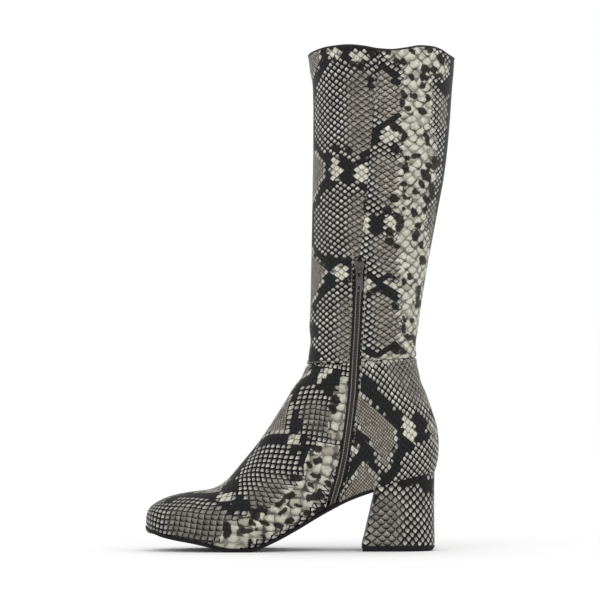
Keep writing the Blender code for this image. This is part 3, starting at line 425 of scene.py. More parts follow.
shaftBackChart = {
    "black": [
        (0, [(272, 162), (279, 162), (281, 168), (280, 174), (276, 180), (270, 181), (270, 172)]),
        (2.4, [(279, 162), (286, 160), (292, 156), (297, 153)]),
        (0, [(271, 247), (277, 250), (283, 250), (284, 256), (283, 265), (279, 270), (273, 270), (270, 266),
            (270, 256)]), (2.4, [(283, 250), (290, 246)]),
        (3.0, [(270, 314), (279, 320), (287, 327), (296, 334)]), (3.0, [(269, 328), (279, 322)]),
        (2.4, [(281, 317), (290, 312)]),
        (2.8, [(264, 387), (270, 391), (281, 391), (288, 385), (298, 380)]),
        (0, [(334, 119), (342, 118), (349, 112), (352, 112), (352, 126), (347, 133), (341, 127)]),
        # this wide band down the back edge is partly the print's black and partly painted shade where the
        # back edge turns away
        (6, [(356, 92), (355, 125), (353, 150), (350.5, 178), (348, 204), (344, 228), (340.5, 254),
            (336, 286)]), (3.0, [(277, 103), (287, 106), (297, 110)]),
    ],
    "core": [
        (9, [(285, 118), (290, 146)]), (9, [(286, 205), (291, 230)]), (8, [(284, 284), (294, 302)]),
        (8, [(285, 342), (288, 372)]), (0.5, [(345, 138), (344, 158)]), (1, [(334, 246), (329, 282)]),
    ],
    "weave": [],
    "cream": [
        (0, [(289, 162), (296, 167), (300, 172), (298, 178), (292, 176), (284, 178), (281, 172)]),
        (0, [(285, 253), (290, 251), (295, 256), (298, 262), (294, 268), (288, 264)]),
        (0, [(264, 318), (270, 317), (274, 322), (271, 328), (264, 330)]),
        (0, [(264, 250), (270, 250), (269, 258), (269, 268), (262, 269), (261, 262)]),
    ],
    "belly": [
        (15, [(317, 84), (317, 120), (316, 160), (315, 200), (312, 240), (310, 280)]),
        (8, [(326, 168), (329, 186), (329, 204), (325, 224)]), (8, [(320, 270), (321, 290), (319, 310)]),
        (11, [(309, 280), (310, 310), (312, 330), (309, 360), (309, 392)]),
        (8, [(293, 90), (312, 92), (336, 96), (340, 104)]), (5, [(291, 321), (300, 326)]),
        (4, [(268, 397), (284, 395), (300, 391)]),
    ],
    "spot": [
        (3.0, [(286, 84), (288, 88)]), (2.8, [(294, 97), (298, 98)]), (2.6, [(340, 92), (342, 97)]),
        (2.6, [(336, 111), (341, 112)]), (2.6, [(312, 86), (313, 88)]), (3.0, [(328, 84), (330, 86)]),
        (2.4, [(303, 97), (304, 99)]), (3.6, [(324, 103), (326, 106)]), (2.8, [(333, 105), (335, 106)]),
        (2.4, [(310, 111), (312, 115)]), (3.6, [(323, 114), (327, 115)]), (3.0, [(321, 119), (322, 122)]),
        (3.2, [(302, 129), (304, 132)]), (2.4, [(311, 132), (315, 132)]), (2.6, [(302, 137), (302, 143)]),
        (2.8, [(306, 144), (309, 145)]), (3.2, [(321, 146), (323, 148)]), (2.8, [(328, 133), (329, 135)]),
        (3.6, [(293, 162), (294, 164)]), (3.0, [(299, 165), (301, 167)]), (3.0, [(304, 169), (306, 171)]),
        (2.6, [(302, 174), (303, 176)]), (3.4, [(325, 172), (327, 174)]), (2.4, [(328, 178), (328, 180)]),
        (3.8, [(276, 88), (274, 95)]), (3.2, [(294, 117), (298, 119)]), (3.8, [(294, 185), (295, 186)]),
        (2.6, [(299, 188), (300, 189)]), (2.6, [(314, 192), (318, 192)]), (2.2, [(306, 194), (308, 194)]),
        (3.8, [(334, 196), (336, 199)]), (3.2, [(328, 201), (332, 203)]), (2.8, [(323, 207), (327, 207)]),
        (3.0, [(304, 202), (306, 207)]), (4.0, [(325, 213), (328, 213)]), (2.8, [(320, 218), (322, 221)]),
        (2.6, [(303, 220), (303, 224)]), (2.4, [(314, 228), (318, 229)]), (2.8, [(331, 222), (332, 230)]),
        (3.8, [(292, 234), (296, 235)]), (2.4, [(305, 233), (309, 234)]), (3.4, [(286, 247), (288, 247)]),
        (2.6, [(303, 245), (305, 246)]), (3.0, [(312, 246), (314, 250)]), (3.0, [(325, 234), (327, 237)]),
        (2.2, [(325, 244), (324, 249)]), (3.8, [(297, 253), (301, 256)]), (3.6, [(298, 262), (299, 264)]),
        (3.0, [(318, 261), (318, 263)]), (3.6, [(288, 267), (290, 269)]), (2.8, [(316, 267), (315, 275)]),
        (3.6, [(288, 276), (290, 278)]), (2.8, [(295, 281), (297, 283)]), (2.4, [(321, 280), (321, 283)]),
        (3.2, [(322, 295), (323, 298)]), (2.8, [(309, 312), (310, 314)]), (2.6, [(303, 316), (303, 320)]),
        (3.6, [(294, 342), (295, 344)]), (2.8, [(319, 324), (318, 328)]), (2.8, [(318, 335), (317, 341)]),
        (2.8, [(303, 355), (304, 357)]), (2.6, [(303, 362), (303, 367)]), (2.4, [(311, 356), (312, 357)]),
        (2.8, [(307, 372), (310, 374)]), (2.4, [(314, 374), (314, 379)]), (3.6, [(293, 385), (296, 387)]),
        (2.8, [(302, 386), (303, 388)]),
    ],
}
vampChart = {
    "black": [
        (0, [(197, 420), (205, 414), (212, 408), (215, 404), (221, 406), (217, 412), (217, 418), (220, 420),
            (224, 414), (229, 409), (233, 405), (240, 404), (242, 412), (241, 418), (238, 421), (237, 426),
            (232, 430), (228, 431), (225, 427), (217, 425), (213, 421), (208, 420), (204, 421), (199, 428),
            (197, 436), (196, 444), (198, 450), (201, 453), (201, 459), (199, 467), (196, 471), (190, 470),
            (188, 462), (189, 455), (191, 450), (192, 440), (191, 430), (194, 424)]),
        (0, [(157, 486), (160, 478), (164, 474), (170, 470), (188, 470), (190, 474), (187, 480), (166, 480)]),
        (0, [(190, 483), (199, 481), (203, 482), (204, 488), (199, 489), (192, 488)]),
        (2.4, [(202, 471), (204, 482), (203, 495), (203, 509)]),
        (0, [(148, 488), (155, 482), (158, 483), (150, 492), (147, 497), (141, 505), (136, 513), (136, 518),
            (139, 521), (139, 528), (136, 531), (132, 529), (120, 528), (127, 518), (137, 505), (145, 493)]),
        (0, [(112, 530), (121, 528), (117, 536), (121, 538), (131, 539), (134, 534), (136, 530), (140, 533),
            (141, 537), (148, 538), (152, 541), (151, 545), (147, 547), (140, 545), (135, 547), (131, 550),
            (125, 548), (119, 545), (118, 541), (111, 538), (109, 534)]),
        (2.0, [(66, 538), (74, 534), (84, 531.5), (100, 530.5), (118, 531)]),
    ],
    "core": [
        (9, [(215, 452), (230, 462)]), (9, [(160, 538), (178, 526)]),
        (12, [(82, 560), (104, 562), (118, 558)]),
    ],
    "weave": [
        (0, [(191, 430), (192, 446), (188, 455), (187, 469), (168, 470), (158, 478), (176, 446)]),
        (0, [(70, 531), (90, 529), (119, 528), (134, 511), (128, 505), (105, 518), (80, 524)]),
        (0, [(208, 398), (213, 404), (212, 408), (205, 414), (196, 420), (200, 408)]),
    ],
    "cream": [
        (0, [(219, 408), (224, 406), (232, 404), (229, 408), (224, 413), (221, 420), (217, 419), (217, 412)]),
        (0, [(190, 473), (193, 470), (200, 470), (200, 480), (193, 481), (187, 480)]),
        (0, [(116, 536), (121, 530), (130, 530), (134, 532), (132, 539), (121, 538)]),
    ],
    "belly": [
        (9, [(244, 424), (239, 446), (238, 468)]), (15, [(226, 492), (215, 516), (204, 532), (186, 548)]),
        (15, [(186, 548), (164, 560), (145, 566)]), (9, [(145, 574), (124, 580)]),
    ],
    "spot": [
        (4.2, [(235, 435), (236, 437)]), (4.2, [(232, 444), (234, 446)]), (3.4, [(214, 484), (218, 485)]),
        (2.6, [(205, 474), (208, 475)]), (4.2, [(153, 547), (156, 552)]), (2.8, [(160, 545), (165, 547)]),
        (3.6, [(126, 560), (128, 567)]), (2.8, [(125, 571), (128, 571)]),
        (2.6, [(142, 568), (148, 567), (156, 565)]), (3.4, [(178, 541), (183, 537)]),
        (2.6, [(180, 549), (184, 546)]), (3.4, [(188, 532), (192, 531)]), (3.4, [(193, 513), (199, 514)]),
        (3.4, [(187, 558), (191, 556)]), (3.2, [(176, 561), (181, 562)]), (2.4, [(195, 541), (201, 542)]),
        (3.8, [(209, 534), (214, 533)]), (4.0, [(219, 529), (221, 531)]), (2.8, [(216, 498), (220, 497)]),
        (2.4, [(213, 511), (219, 513)]), (2.8, [(209, 520), (212, 522)]), (2.4, [(227, 518), (229, 520)]),
        (3.2, [(206, 549), (208, 551)]), (2.6, [(162, 559), (166, 560)]), (2.6, [(208, 499), (209, 501)]),
        (3.0, [(151, 559), (154, 561)]), (2.6, [(222, 545), (216, 548)]), (2.4, [(163, 572), (164, 574)]),
        (2.4, [(150, 577), (149, 581)]),
    ],
}
quarterChart = {
    "black": [
        (0, [(260, 412), (266, 412), (272, 418), (276, 424), (282, 430), (285, 436), (290, 442), (294, 445),
            (302, 447), (303, 455), (302, 462), (304, 468), (308, 473), (313, 478), (315, 484), (312, 488),
            (306, 489), (302, 494), (300, 500), (299, 507), (294, 513), (288, 520), (282, 525), (279, 520),
            (280, 512), (283, 506), (288, 508), (290, 503), (292, 497), (292, 490), (295, 485), (298, 480),
            (298, 476), (295, 470), (298, 466), (293, 460), (289, 455), (283, 449), (277, 444), (273, 440),
            (270, 434), (266, 430), (260, 427)]),
        (0, [(253, 466), (260, 466), (263, 470), (266, 474), (268, 480), (271, 486), (272, 490), (275, 494),
            (274, 500), (278, 502), (278, 506), (273, 507), (271, 501), (268, 497), (262, 498), (258, 500),
            (256, 505), (252, 512), (244, 516), (245, 505), (252, 496), (256, 490), (259, 486), (258, 481),
            (252, 480), (252, 472)]),
        (0, [(314, 451), (319, 450), (322, 452), (326, 455), (327, 460), (325, 466), (329, 470), (330, 475),
            (326, 478), (322, 477), (317, 480), (313, 476), (314, 470), (315, 462), (312, 456)]),
        (2.4, [(264, 389), (271, 392), (280, 392)]), (1.8, [(331, 446), (336, 455)]),
    ],
    "core": [
        (9, [(302, 402), (320, 425)]),
    ],
    "weave": [
        (0, [(252, 428), (262, 430), (270, 437), (277, 444), (289, 455), (298, 466), (296, 471), (298, 478),
            (292, 488), (291, 497), (288, 506), (280, 500), (276, 492), (269, 480), (264, 473), (258, 464),
            (252, 452)]),
        (0, [(258, 500), (268, 497), (272, 506), (277, 507), (279, 528), (262, 534), (247, 541), (238, 538),
            (246, 524), (253, 512)]),
        (0, [(326, 455), (330, 456), (337, 464), (338, 482), (331, 480), (329, 470), (326, 466)]),
    ],
    "cream": [
        (0, [(303, 452), (308, 452), (311, 457), (312, 463), (315, 469), (313, 474), (315, 478), (311, 476),
            (306, 471), (301, 464), (304, 459)]), (0, [(262, 400), (268, 393), (274, 400)]),
        (0, [(281, 398), (286, 391), (295, 389), (303, 391), (300, 397)]),
        (0, [(251, 482), (257, 481), (259, 486), (256, 491), (251, 491)]),
    ],
    "belly": [],
    "spot": [],
}
heelChart = {
    "black": [
        (0, [(320, 508), (326, 508), (327, 516), (333, 516), (334, 529), (327, 530), (323, 527), (320, 522),
            (312, 521), (308, 522), (302, 523), (297, 518), (300, 514), (313, 512)]),
        (2.4, [(282, 514), (284, 520)]),
    ],
    "core": [
        (12, [(286, 548), (284, 575)]),
    ],
    "weave": [],
    "cream": [],
    "belly": [],
    "spot": [
        (2.6, [(276, 530), (275, 537)]), (2.6, [(303, 519), (309, 520)]),
    ],
}
zoneNames = ("black", "core", "weave", "cream", "belly", "spot")


# Depth inside the nearest blotch of a kind, in chart units, below zero outside
def chartDepth(shapes, px, py):
    best = np.full(np.shape(px), chart["outside"])
    for width, points in shapes:
        if width:
            depth = width - lineDistance(px, py, points)
        else:
            inside = np.zeros(np.shape(px), bool)
            for (ax, ay), (bx, by) in zip(points, points[1:] + points[:1]):
                crosses = (ay > py) != (by > py)
                inside ^= crosses & (px < (bx - ax) * (py - ay) / (by - ay + 1e-9) + ax)
            depth = lineDistance(px, py, points, True) * np.where(inside, 1, -1)
        best = np.maximum(best, depth)
    return best


# Places across a panel counted in scales, where their size changes from place to place
def evenOut(places, sizes, anchor):
    table = np.array(sizes, float)
    dense = np.arange(-260.0, 261.0)
    step = 1 / np.interp(dense, table[:, 0], table[:, 1])
    count = np.concatenate([[0], np.cumsum((step[1:] + step[:-1]) / 2)])
    return np.interp(places, dense, count - np.interp(anchor, dense, count))


# Slow waves that keep a net from looking ruled: height, lengths along x and z for one radian, start
netWaves = {
    "across": [(0.9, math.inf, 21.0, 0.7), (0.5, 27.0, 8.3, 0.0)],
    "up": [(0.8, 17.0, math.inf, 0.4), (0.5, 7.1, -33.0, 0.0)],
}
netStart, bellyStart, steepest = 200, 60, 8   # counts that stay above zero, and the most a zone may slope


def waves(name, x, z):
    rows = netWaves[name]
    return sum(high * np.sin(x / alongX + z / alongZ + start) for high, alongX, alongZ, start in rows)


# Numbers that the print's material reads: the net of scales, the belly's cells, and each zone's depth with
# its slope along the net
def printFields(points, flat, net, zones, look):
    near = chart["distance"] / (chart["distance"] - np.abs(points[:, :, 1]))
    px = chart["x"] + points[:, :, 0] * near / chart["unit"]
    py = chart["y"] - (points[:, :, 2] - chart["height"]) * near / chart["unit"]
    flatX, flatZ = flat[:, :, 0], flat[:, :, 1]
    evened = evenOut(flatX, net["sizes"], net["anchor"])
    if "toeSizes" in net:
        toe = ease((net["toeFrom"] - flatZ) / net["toeBlend"])
        evened = evened + toe * (evenOut(flatX, net["toeSizes"], net["anchor"]) - evened)
    across, up = evened + waves("across", flatX, flatZ), flatZ + waves("up", flatX, flatZ)
    turns, cells = net["turns"], net["cells"]
    a, b = [turns[k] * across + turns[k + 1] * up + netStart for k in (0, 2)]
    bellyA, bellyB = [cells[k] * flatX + cells[k + 1] * up + bellyStart for k in (0, 2)]
    level = np.zeros_like(a)
    fields = {"lattice": np.stack([a, b, level], axis=2),
              "bellyPlace": np.stack([bellyA, bellyB, level], axis=2),
              "panel": np.broadcast_to(np.array(look), (*a.shape, 3))}
    aRow, aColumn = np.gradient(a)
    bRow, bColumn = np.gradient(b)
    turn = aRow * bColumn - aColumn * bRow
    turn = np.where(np.abs(turn) < 1e-5, 1e9, turn)
    for name in zoneNames:
        depth = chartDepth(zones[name], px, py)
        row, column = np.gradient(depth)
        slopeA = np.clip((row * bColumn - column * bRow) / turn, -steepest, steepest)
        slopeB = np.clip((aRow * column - aColumn * row) / turn, -steepest, steepest)
        fields[name] = np.stack([depth, -slopeA, -slopeB], axis=2)
    return fields


def toLinear(hexColour):
    parts = [int(hexColour[k:k + 2], 16) / 255 for k in (1, 3, 5)]
    return tuple(c / 12.92 if c <= 0.04045 else ((c + 0.055) / 1.055) ** 2.4 for c in parts) + (1.0,)


mainSetting = {"Math": "operation", "VectorMath": "operation", "MapRange": "interpolation_type",
               "Mix": "data_type", "Attribute": "attribute_name"}
usualOutput = {"TexCoord": 3, "Attribute": 1, "RGBA": 2, "DOT_PRODUCT": 1, "LENGTH": 1}   # else the first


# Adds a node: inputs by socket number or name, each a value or another node's output; mode is the setting
# that says which form of the node it is
def addNode(material, kind, inputs, mode=None, **settings):
    tree = material.node_tree
    node = tree.nodes.new("ShaderNode" + kind)
    if mode:
        settings[mainSetting[kind]] = mode
    for name, value in settings.items():
        setattr(node, name, value)
    pairs = inputs.items() if isinstance(inputs, dict) else enumerate(inputs)
    for socket, value in pairs:
        if isinstance(value, bpy.types.NodeSocket):
            tree.links.new(value, node.inputs[socket])
        else:
            node.inputs[socket].default_value = value
    return node.outputs[usualOutput.get(mode, usualOutput.get(kind, 0))]


def newMaterial(name, **values):
    material = bpy.data.materials.new(name)
    material.use_nodes = True
    shader = material.node_tree.nodes["Principled BSDF"]
    for socket, value in values.items():
        shader.inputs[socket.replace("_", " ")].default_value = value
    return material, shader


def linkShader(material, shader, **outputs):
    for socket, output in outputs.items():
        material.node_tree.links.new(output, shader.inputs[socket.replace("_", " ")])
    return material


# Polyurethane-coated stretch fabric, printed with reptile scales and lightly embossed: satin, each scale a
# small dome with a dark gap, the printed tones changing from scale to scale
printTints = {
    "white": "#cbc9c1", "cream": "#d2d0c1", "creamEdge": "#7d7a6b", "taupe": "#5f5a53", "taupeTip": "#b3aea2",
    "black": "#0d0d0e", "blackGap": "#1b1b1b", "blackScale": "#252424", "brownNet": "#100e0c",
    "weaveLight": "#a49d92", "weaveDark": "#3b3631", "ringNet": "#3f3b36", "ringWhite": "#b9b6ac",
    "bellyShadow": "#1f1d18", "bellyTaupe": "#8a8475", "spotDark": "#1d1b18",
}
printNoises = {   # size in mm and detail
    "cloud": (30.0, 3.0), "drift": (8.0, 1.0), "smoke": (5.0, 3.0), "speckle": (1.5, 4.0),
    "grain": (0.7, 2.0),
}
printLook = {
    "drift": 0.28, "bellyDrift": 0.7, "bellyUneven": 0.36, "bellyTip": 0.15, "weaveFiner": 2.0, "lean": 0.09,
    "squat": 0.42, "arcFrom": 0.22, "arcUneven": 0.1, "zoneJitter": 1.8, "relief": 0.12, "grainRelief": 0.25,
}
printRanges = {   # from, to, and what is given at each end
    "inside": (-0.15, 0.15, 0.0, 1.0), "weaveInside": (2.8, 3.1, 0.0, 1.0), "core": (-11.0, 6.0, 0.0, 1.0),
    "diamond": (0.3, 0.56, 1.0, 0.0), "overlap": (0.3, 0.58, 1.0, 0.2), "tipShade": (-0.4, 0.4, 1.1, 0.52),
    "toneShade": (0.0, 1.0, 0.66, 1.12), "arcIn": (0.49, 0.66, 0.0, 1.0), "arcOut": (0.82, 0.94, 1.0, 0.0),
    "tipLight": (-0.35, 0.8, 0.0, 1.0), "pastArc": (0.82, 0.94, 0.0, 1.0), "isTaupe": (0.84, 0.9, 0.0, 0.6),
    "mottle": (0.48, 0.72, 0.0, 0.6), "bellyDome": (0.15, 0.62, 0.94, 0.66),
    "crescent": (0.44, 0.58, 0.0, 1.0), "crescentTone": (0.2, 0.9, 0.88, 0.28),
    "lowPart": (-0.05, 0.45, 0.16, 1.0), "gap": (0.03, 0.17, 0.85, 0.0), "gapTone": (0.1, 0.8, 0.25, 1.0),
    "creamBody": (0.5, 0.95, 1.0, 0.0), "creamShade": (0.0, 1.0, 0.78, 1.02),
    "ringBody": (0.45, 0.75, 1.0, 0.0), "weaveBody": (0.25, 0.75, 1.0, 0.0),
    "weaveTone": (0.0, 1.0, 0.5, 1.2), "ragged": (0.25, 0.75, -2.0, 2.0), "spotMask": (-0.7, 0.7, 0.0, 0.96),
    "cloudShade": (0.3, 0.7, 0.88, 1.06), "speckleShade": (0.3, 0.7, 0.76, 1.2),
    "rough": (0.3, 0.7, 0.44, 0.58),
}


# A net of scales, each a rounded shield that leans to its tip, so that the dark gap is wide behind it
def scaleNet(add, net, finer, lean):
    sized = add("VectorMath", {0: net, 3: finer}, "SCALE")
    cell = add("VectorMath", [sized], "FLOOR")
    part = add("VectorMath", [sized], "FRACTION")
    local = add("VectorMath", [part, (0.5, 0.5, 0.5)], "SUBTRACT")
    tip = add("VectorMath", [local, (-1.0, 1.0, 0.0)], "DOT_PRODUCT")
    side = add("VectorMath", [local, (1.0, 1.0, 0.0)], "DOT_PRODUCT")
    leaned = add("VectorMath", [local, (2.0, 2.0, 0.0), (lean, -lean, 0.0)], "MULTIPLY_ADD")
    square = add("VectorMath", [leaned, leaned], "MULTIPLY")
    rounded = add("VectorMath", [square], "LENGTH")
    wide = add("Math", [side, side], "MULTIPLY")
    tall = add("Math", [tip, tip], "MULTIPLY")
    squat = add("Math", [wide, tall], "SUBTRACT")
    edge = add("Math", [squat, printLook["squat"], rounded], "MULTIPLY_ADD")
    tone = add("TexWhiteNoise", {"Vector": cell}, noise_dimensions="2D")
    return {"local": local, "tip": tip, "edge": edge, "tone": tone}


# Belly scales are large, pale and uneven, each domed, with a dark crescent behind it; some are taupe
def bellyScales(add, tint, shift, smoke):
    look, ranges = printLook, printRanges
    moved = add("VectorMath", [shift, (look["bellyDrift"],) * 3, add("Attribute", {}, "bellyPlace")],
                "MULTIPLY_ADD")
    layout = {"Vector": moved, "Scale": 1.0, "Randomness": look["bellyUneven"]}
    cell = add("TexVoronoi", layout, voronoi_dimensions="2D").node
    border = add("TexVoronoi", layout, voronoi_dimensions="2D", feature="DISTANCE_TO_EDGE")
    chance = add("SeparateXYZ", [cell.outputs["Color"]]).node.outputs
    local = add("VectorMath", [moved, cell.outputs["Position"]], "SUBTRACT")
    tipAt = look["bellyTip"]
    fromTip = add("VectorMath", [local, (1.0, 1.0, 0.0), (tipAt, -tipAt, 0.0)], "MULTIPLY_ADD")
    reach = add("VectorMath", [fromTip], "LENGTH")
    isTaupe = add("MapRange", [chance[0], *ranges["isTaupe"]])
    mottle = add("MapRange", [smoke, *ranges["mottle"]])
    taupePart = add("Math", [isTaupe, mottle], "MAXIMUM")
    plain = add("Mix", {0: taupePart, 6: tint["cream"], 7: tint["bellyTaupe"]}, "RGBA")
    dome = add("MapRange", [reach, *ranges["bellyDome"]], "SMOOTHSTEP")
    lit = add("VectorMath", {0: plain, 3: dome}, "SCALE")
    crescentForm = add("MapRange", [reach, *ranges["crescent"]], "SMOOTHSTEP")
    crescentTone = add("MapRange", [chance[1], *ranges["crescentTone"]])
    crescent = add("Math", [crescentForm, crescentTone], "MULTIPLY")
    # the gap shows dark below a scale and hardly above it
    lowSide = add("VectorMath", [local, (1.0, -1.0, 0.0)], "DOT_PRODUCT")
    lowPart = add("MapRange", [lowSide, *ranges["lowPart"]])
    gapForm = add("MapRange", [border, *ranges["gap"]], "SMOOTHSTEP")
    gapTone = add("MapRange", [chance[2], *ranges["gapTone"]])
    gapLow = add("Math", [gapForm, lowPart], "MULTIPLY")
    gap = add("Math", [gapLow, gapTone], "MULTIPLY")
    dark = add("Math", [crescent, gap], "MAXIMUM")
    return add("Mix", {0: dark, 6: lit, 7: tint["bellyShadow"]}, "RGBA")


def makePrintMaterial():
    look, ranges = printLook, printRanges
    tint = {name: toLinear(value) for name, value in printTints.items()}
    material, shader = newMaterial("printed_stretch_coated_fabric", IOR=1.47, Specular_IOR_Level=0.12)
    add = partial(addNode, material)
    place = add("TexCoord", {})
    noise = {name: add("TexNoise", {"Vector": place, "Scale": 1000 / size, "Detail": detail})
             for name, (size, detail) in printNoises.items()}
    shift = add("VectorMath", [noise["drift"].node.outputs["Color"], (0.5, 0.5, 0.5)], "SUBTRACT")
    uneven = add("VectorMath", [shift, (look["drift"],) * 3, add("Attribute", {}, "lattice")], "MULTIPLY_ADD")
    scale = scaleNet(add, uneven, 1.0, look["lean"])
    weave = scaleNet(add, uneven, look["weaveFiner"], 0.0)
    # a zone takes in whole scales, because its depth is carried to the middle of each
    across = add("SeparateXYZ", [scale["local"]])
    snap = add("CombineXYZ", [1.0, across, across.node.outputs[1]])
    jitter = add("Math", [scale["tone"], look["zoneJitter"], -look["zoneJitter"] / 2], "MULTIPLY_ADD")
    depth = {}
    for name in ("black", "core", "weave", "cream", "belly"):
        snapped = add("VectorMath", [add("Attribute", {}, name), snap], "DOT_PRODUCT")
        depth[name] = add("Math", [snapped, jitter], "ADD")
    inside = {name: add("MapRange", [depth[name], *ranges["inside"]])
              for name in ("black", "weave", "cream", "belly")}
    weaveInside = add("MapRange", [depth["weave"], *ranges["weaveInside"]])
    core = add("MapRange", [depth["core"], *ranges["core"]], "SMOOTHSTEP")
    panel = add("SeparateXYZ", [add("Attribute", {}, "panel")])
    netEdge = add("Math", [scale["edge"], panel.node.outputs[1]], "SUBTRACT")
    coreShade = add("Math", [1.0, panel.node.outputs[2]], "SUBTRACT")
    # round a blotch the net is thick and black
    diamond = add("MapRange", [netEdge, *ranges["diamond"]], "SMOOTHSTEP")
    overlap = add("MapRange", [scale["tip"], *ranges["overlap"]])
    body = add("Math", [diamond, overlap], "MULTIPLY")
    tipShade = add("MapRange", [scale["tip"], *ranges["tipShade"]])
    toneShade = add("MapRange", [scale["tone"], *ranges["toneShade"]])
    shade = add("Math", [tipShade, toneShade], "MULTIPLY")
    whiteLit = add("VectorMath", {0: tint["white"][:3], 3: shade}, "SCALE")
    whiteNet = add("Mix", {0: body, 6: tint["black"], 7: whiteLit}, "RGBA")
    # in its middle a dark round arc lies behind each taupe scale, and its tip is edged with light
    arcFrom, arcUneven = look["arcFrom"], look["arcUneven"]
    waver = add("Math", [noise["smoke"], arcUneven, -arcUneven / 2], "MULTIPLY_ADD")
    fromTip = add("VectorMath", [scale["local"], (1.0, 1.0, 0.0), (arcFrom, -arcFrom, 0.0)], "MULTIPLY_ADD")
    reach = add("Math", [add("VectorMath", [fromTip], "LENGTH"), waver], "ADD")
    arcIn = add("MapRange", [reach, *ranges["arcIn"]], "SMOOTHSTEP")
    arcOut = add("MapRange", [reach, *ranges["arcOut"]], "SMOOTHSTEP")
    arc = add("Math", [arcIn, arcOut], "MULTIPLY")
    tipLight = add("MapRange", [scale["tip"], *ranges["tipLight"]])
    pastArc = add("MapRange", [reach, *ranges["pastArc"]])
    lightPart = add("Math", [tipLight, pastArc], "MAXIMUM")
    corePlain = add("Mix", {0: lightPart, 6: tint["taupe"], 7: tint["taupeTip"]}, "RGBA")
    coreTone = add("Math", [toneShade, coreShade], "MULTIPLY")
    coreLit = add("VectorMath", {0: corePlain, 3: coreTone}, "SCALE")
    coreNet = add("Mix", {0: arc, 6: coreLit, 7: tint["brownNet"]}, "RGBA")
    netted = add("Mix", {0: core, 6: whiteNet, 7: coreNet}, "RGBA")
    creamBody = add("MapRange", [scale["edge"], *ranges["creamBody"]])
    creamPlain = add("Mix", {0: creamBody, 6: tint["creamEdge"], 7: tint["cream"]}, "RGBA")
    creamShade = add("MapRange", [scale["tone"], *ranges["creamShade"]])
    creamColour = add("VectorMath", {0: creamPlain, 3: creamShade}, "SCALE")
    # a patch of fine weave has a ring of plain scales round it
    ringBody = add("MapRange", [scale["edge"], *ranges["ringBody"]])
    ringPlain = add("Mix", {0: ringBody, 6: tint["ringNet"], 7: tint["ringWhite"]}, "RGBA")
    ringColour = add("VectorMath", {0: ringPlain, 3: toneShade}, "SCALE")
    weaveBody = add("MapRange", [weave["edge"], *ranges["weaveBody"]], "SMOOTHSTEP")
    weaveTone = add("MapRange", [weave["tone"], *ranges["weaveTone"]])
    weaveMix = add("Math", [weaveBody, weaveTone], "MULTIPLY")
    weaveColour = add("Mix", {0: weaveMix, 6: tint["weaveDark"], 7: tint["weaveLight"]}, "RGBA")
    blackColour = add("Mix", {0: body, 6: tint["blackGap"], 7: tint["blackScale"]}, "RGBA")
    bellyColour = bellyScales(add, tint, shift, noise["smoke"])
    # smoky spots have soft, ragged edges and do not follow the scales
    spotDepth = add("SeparateXYZ", [add("Attribute", {}, "spot")])
    ragged = add("MapRange", [noise["smoke"], *ranges["ragged"]])
    spotEdge = add("Math", [spotDepth, ragged], "ADD")
    spotMask = add("MapRange", [spotEdge, *ranges["spotMask"]], "SMOOTHSTEP")
    colour = netted
    for mask, over in ((inside["belly"], bellyColour), (inside["weave"], ringColour),
                       (weaveInside, weaveColour), (inside["black"], blackColour),
                       (inside["cream"], creamColour), (spotMask, tint["spotDark"])):
        colour = add("Mix", {0: mask, 6: colour, 7: over}, "RGBA")
    cloudShade = add("MapRange", [noise["cloud"], *ranges["cloudShade"]])
    panelShade = add("Math", [1.0, panel], "SUBTRACT")
    shaded = add("Math", [cloudShade, panelShade], "MULTIPLY")
    speckleShade = add("MapRange", [noise["speckle"], *ranges["speckleShade"]])
    clouded = add("Math", [shaded, speckleShade], "MULTIPLY")
    finalColour = add("VectorMath", {0: colour, 3: clouded}, "SCALE")
    relief = add("Math", [noise["grain"], look["grainRelief"], body], "MULTIPLY_ADD")
    bump = add("Bump", {"Strength": 0.5, "Distance": look["relief"] * mm, "Height": relief})
    rough = add("MapRange", [noise["grain"], *ranges["rough"]])
    return linkShader(material, shader, Base_Color=finalColour, Normal=bump, Roughness=rough)


noiseSpan = (0.3, 0.7)   # most of a noise's values lie between these
# Warp-knitted polyester lining: matt and soft, faint ribs about a millimetre apart
liningLook = {"dark": "#4a443f", "light": "#5f5852", "rib": 1.2, "relief": 0.2}


def makeLiningMaterial():
    material, shader = newMaterial("warp_knit_lining", Roughness=0.9, IOR=1.45, Sheen_Weight=0.15)
    add = partial(addNode, material)
    perRib = 1000 / liningLook["rib"] * math.pi / 10   # the wave texture's scale for one rib in that width
    place = add("TexCoord", {})
    rib = add("TexWave", {"Vector": place, "Scale": perRib, "Distortion": 1.0}, bands_direction="Z")
    dark, light = toLinear(liningLook["dark"]), toLinear(liningLook["light"])
    colour = add("Mix", {0: rib, 6: dark, 7: light}, "RGBA")
    bump = add("Bump", {"Strength": 0.3, "Distance": liningLook["relief"] * mm, "Height": rib})
    return linkShader(material, shader, Base_Color=colour, Normal=bump)


# Materials that are one tone with a fine grain: colour pair, roughness pair, grain size and depth in mm
plainLooks = {
    "moulded_resin_rubber": ("#060606", "#0d0d0e", 0.5, 0.68, 0.9, 0.06),    # sole: black, dull sheen
    "spun_polyester_thread": ("#938f88", "#b9b5ae", 0.6, 0.75, 0.5, 0.05),   # thread: grey, soft gloss
    "woven_polyester_tape": ("#262322", "#3a3634", 0.75, 0.9, 0.6, 0.12),    # zip tape: dark, fine ribs
    "moulded_nylon_coil": ("#2a2624", "#3f3a36", 0.38, 0.5, 1.2, 0.03),      # zip coil: brown, slight gloss
    "felted_sock_lining": ("#3d3833", "#574f48", 0.85, 0.95, 0.8, 0.1),      # insole cover: matt
    "folded_elastic_binding": ("#1e1d1e", "#333133", 0.7, 0.85, 0.6, 0.08),  # topline edge: black, matt
}


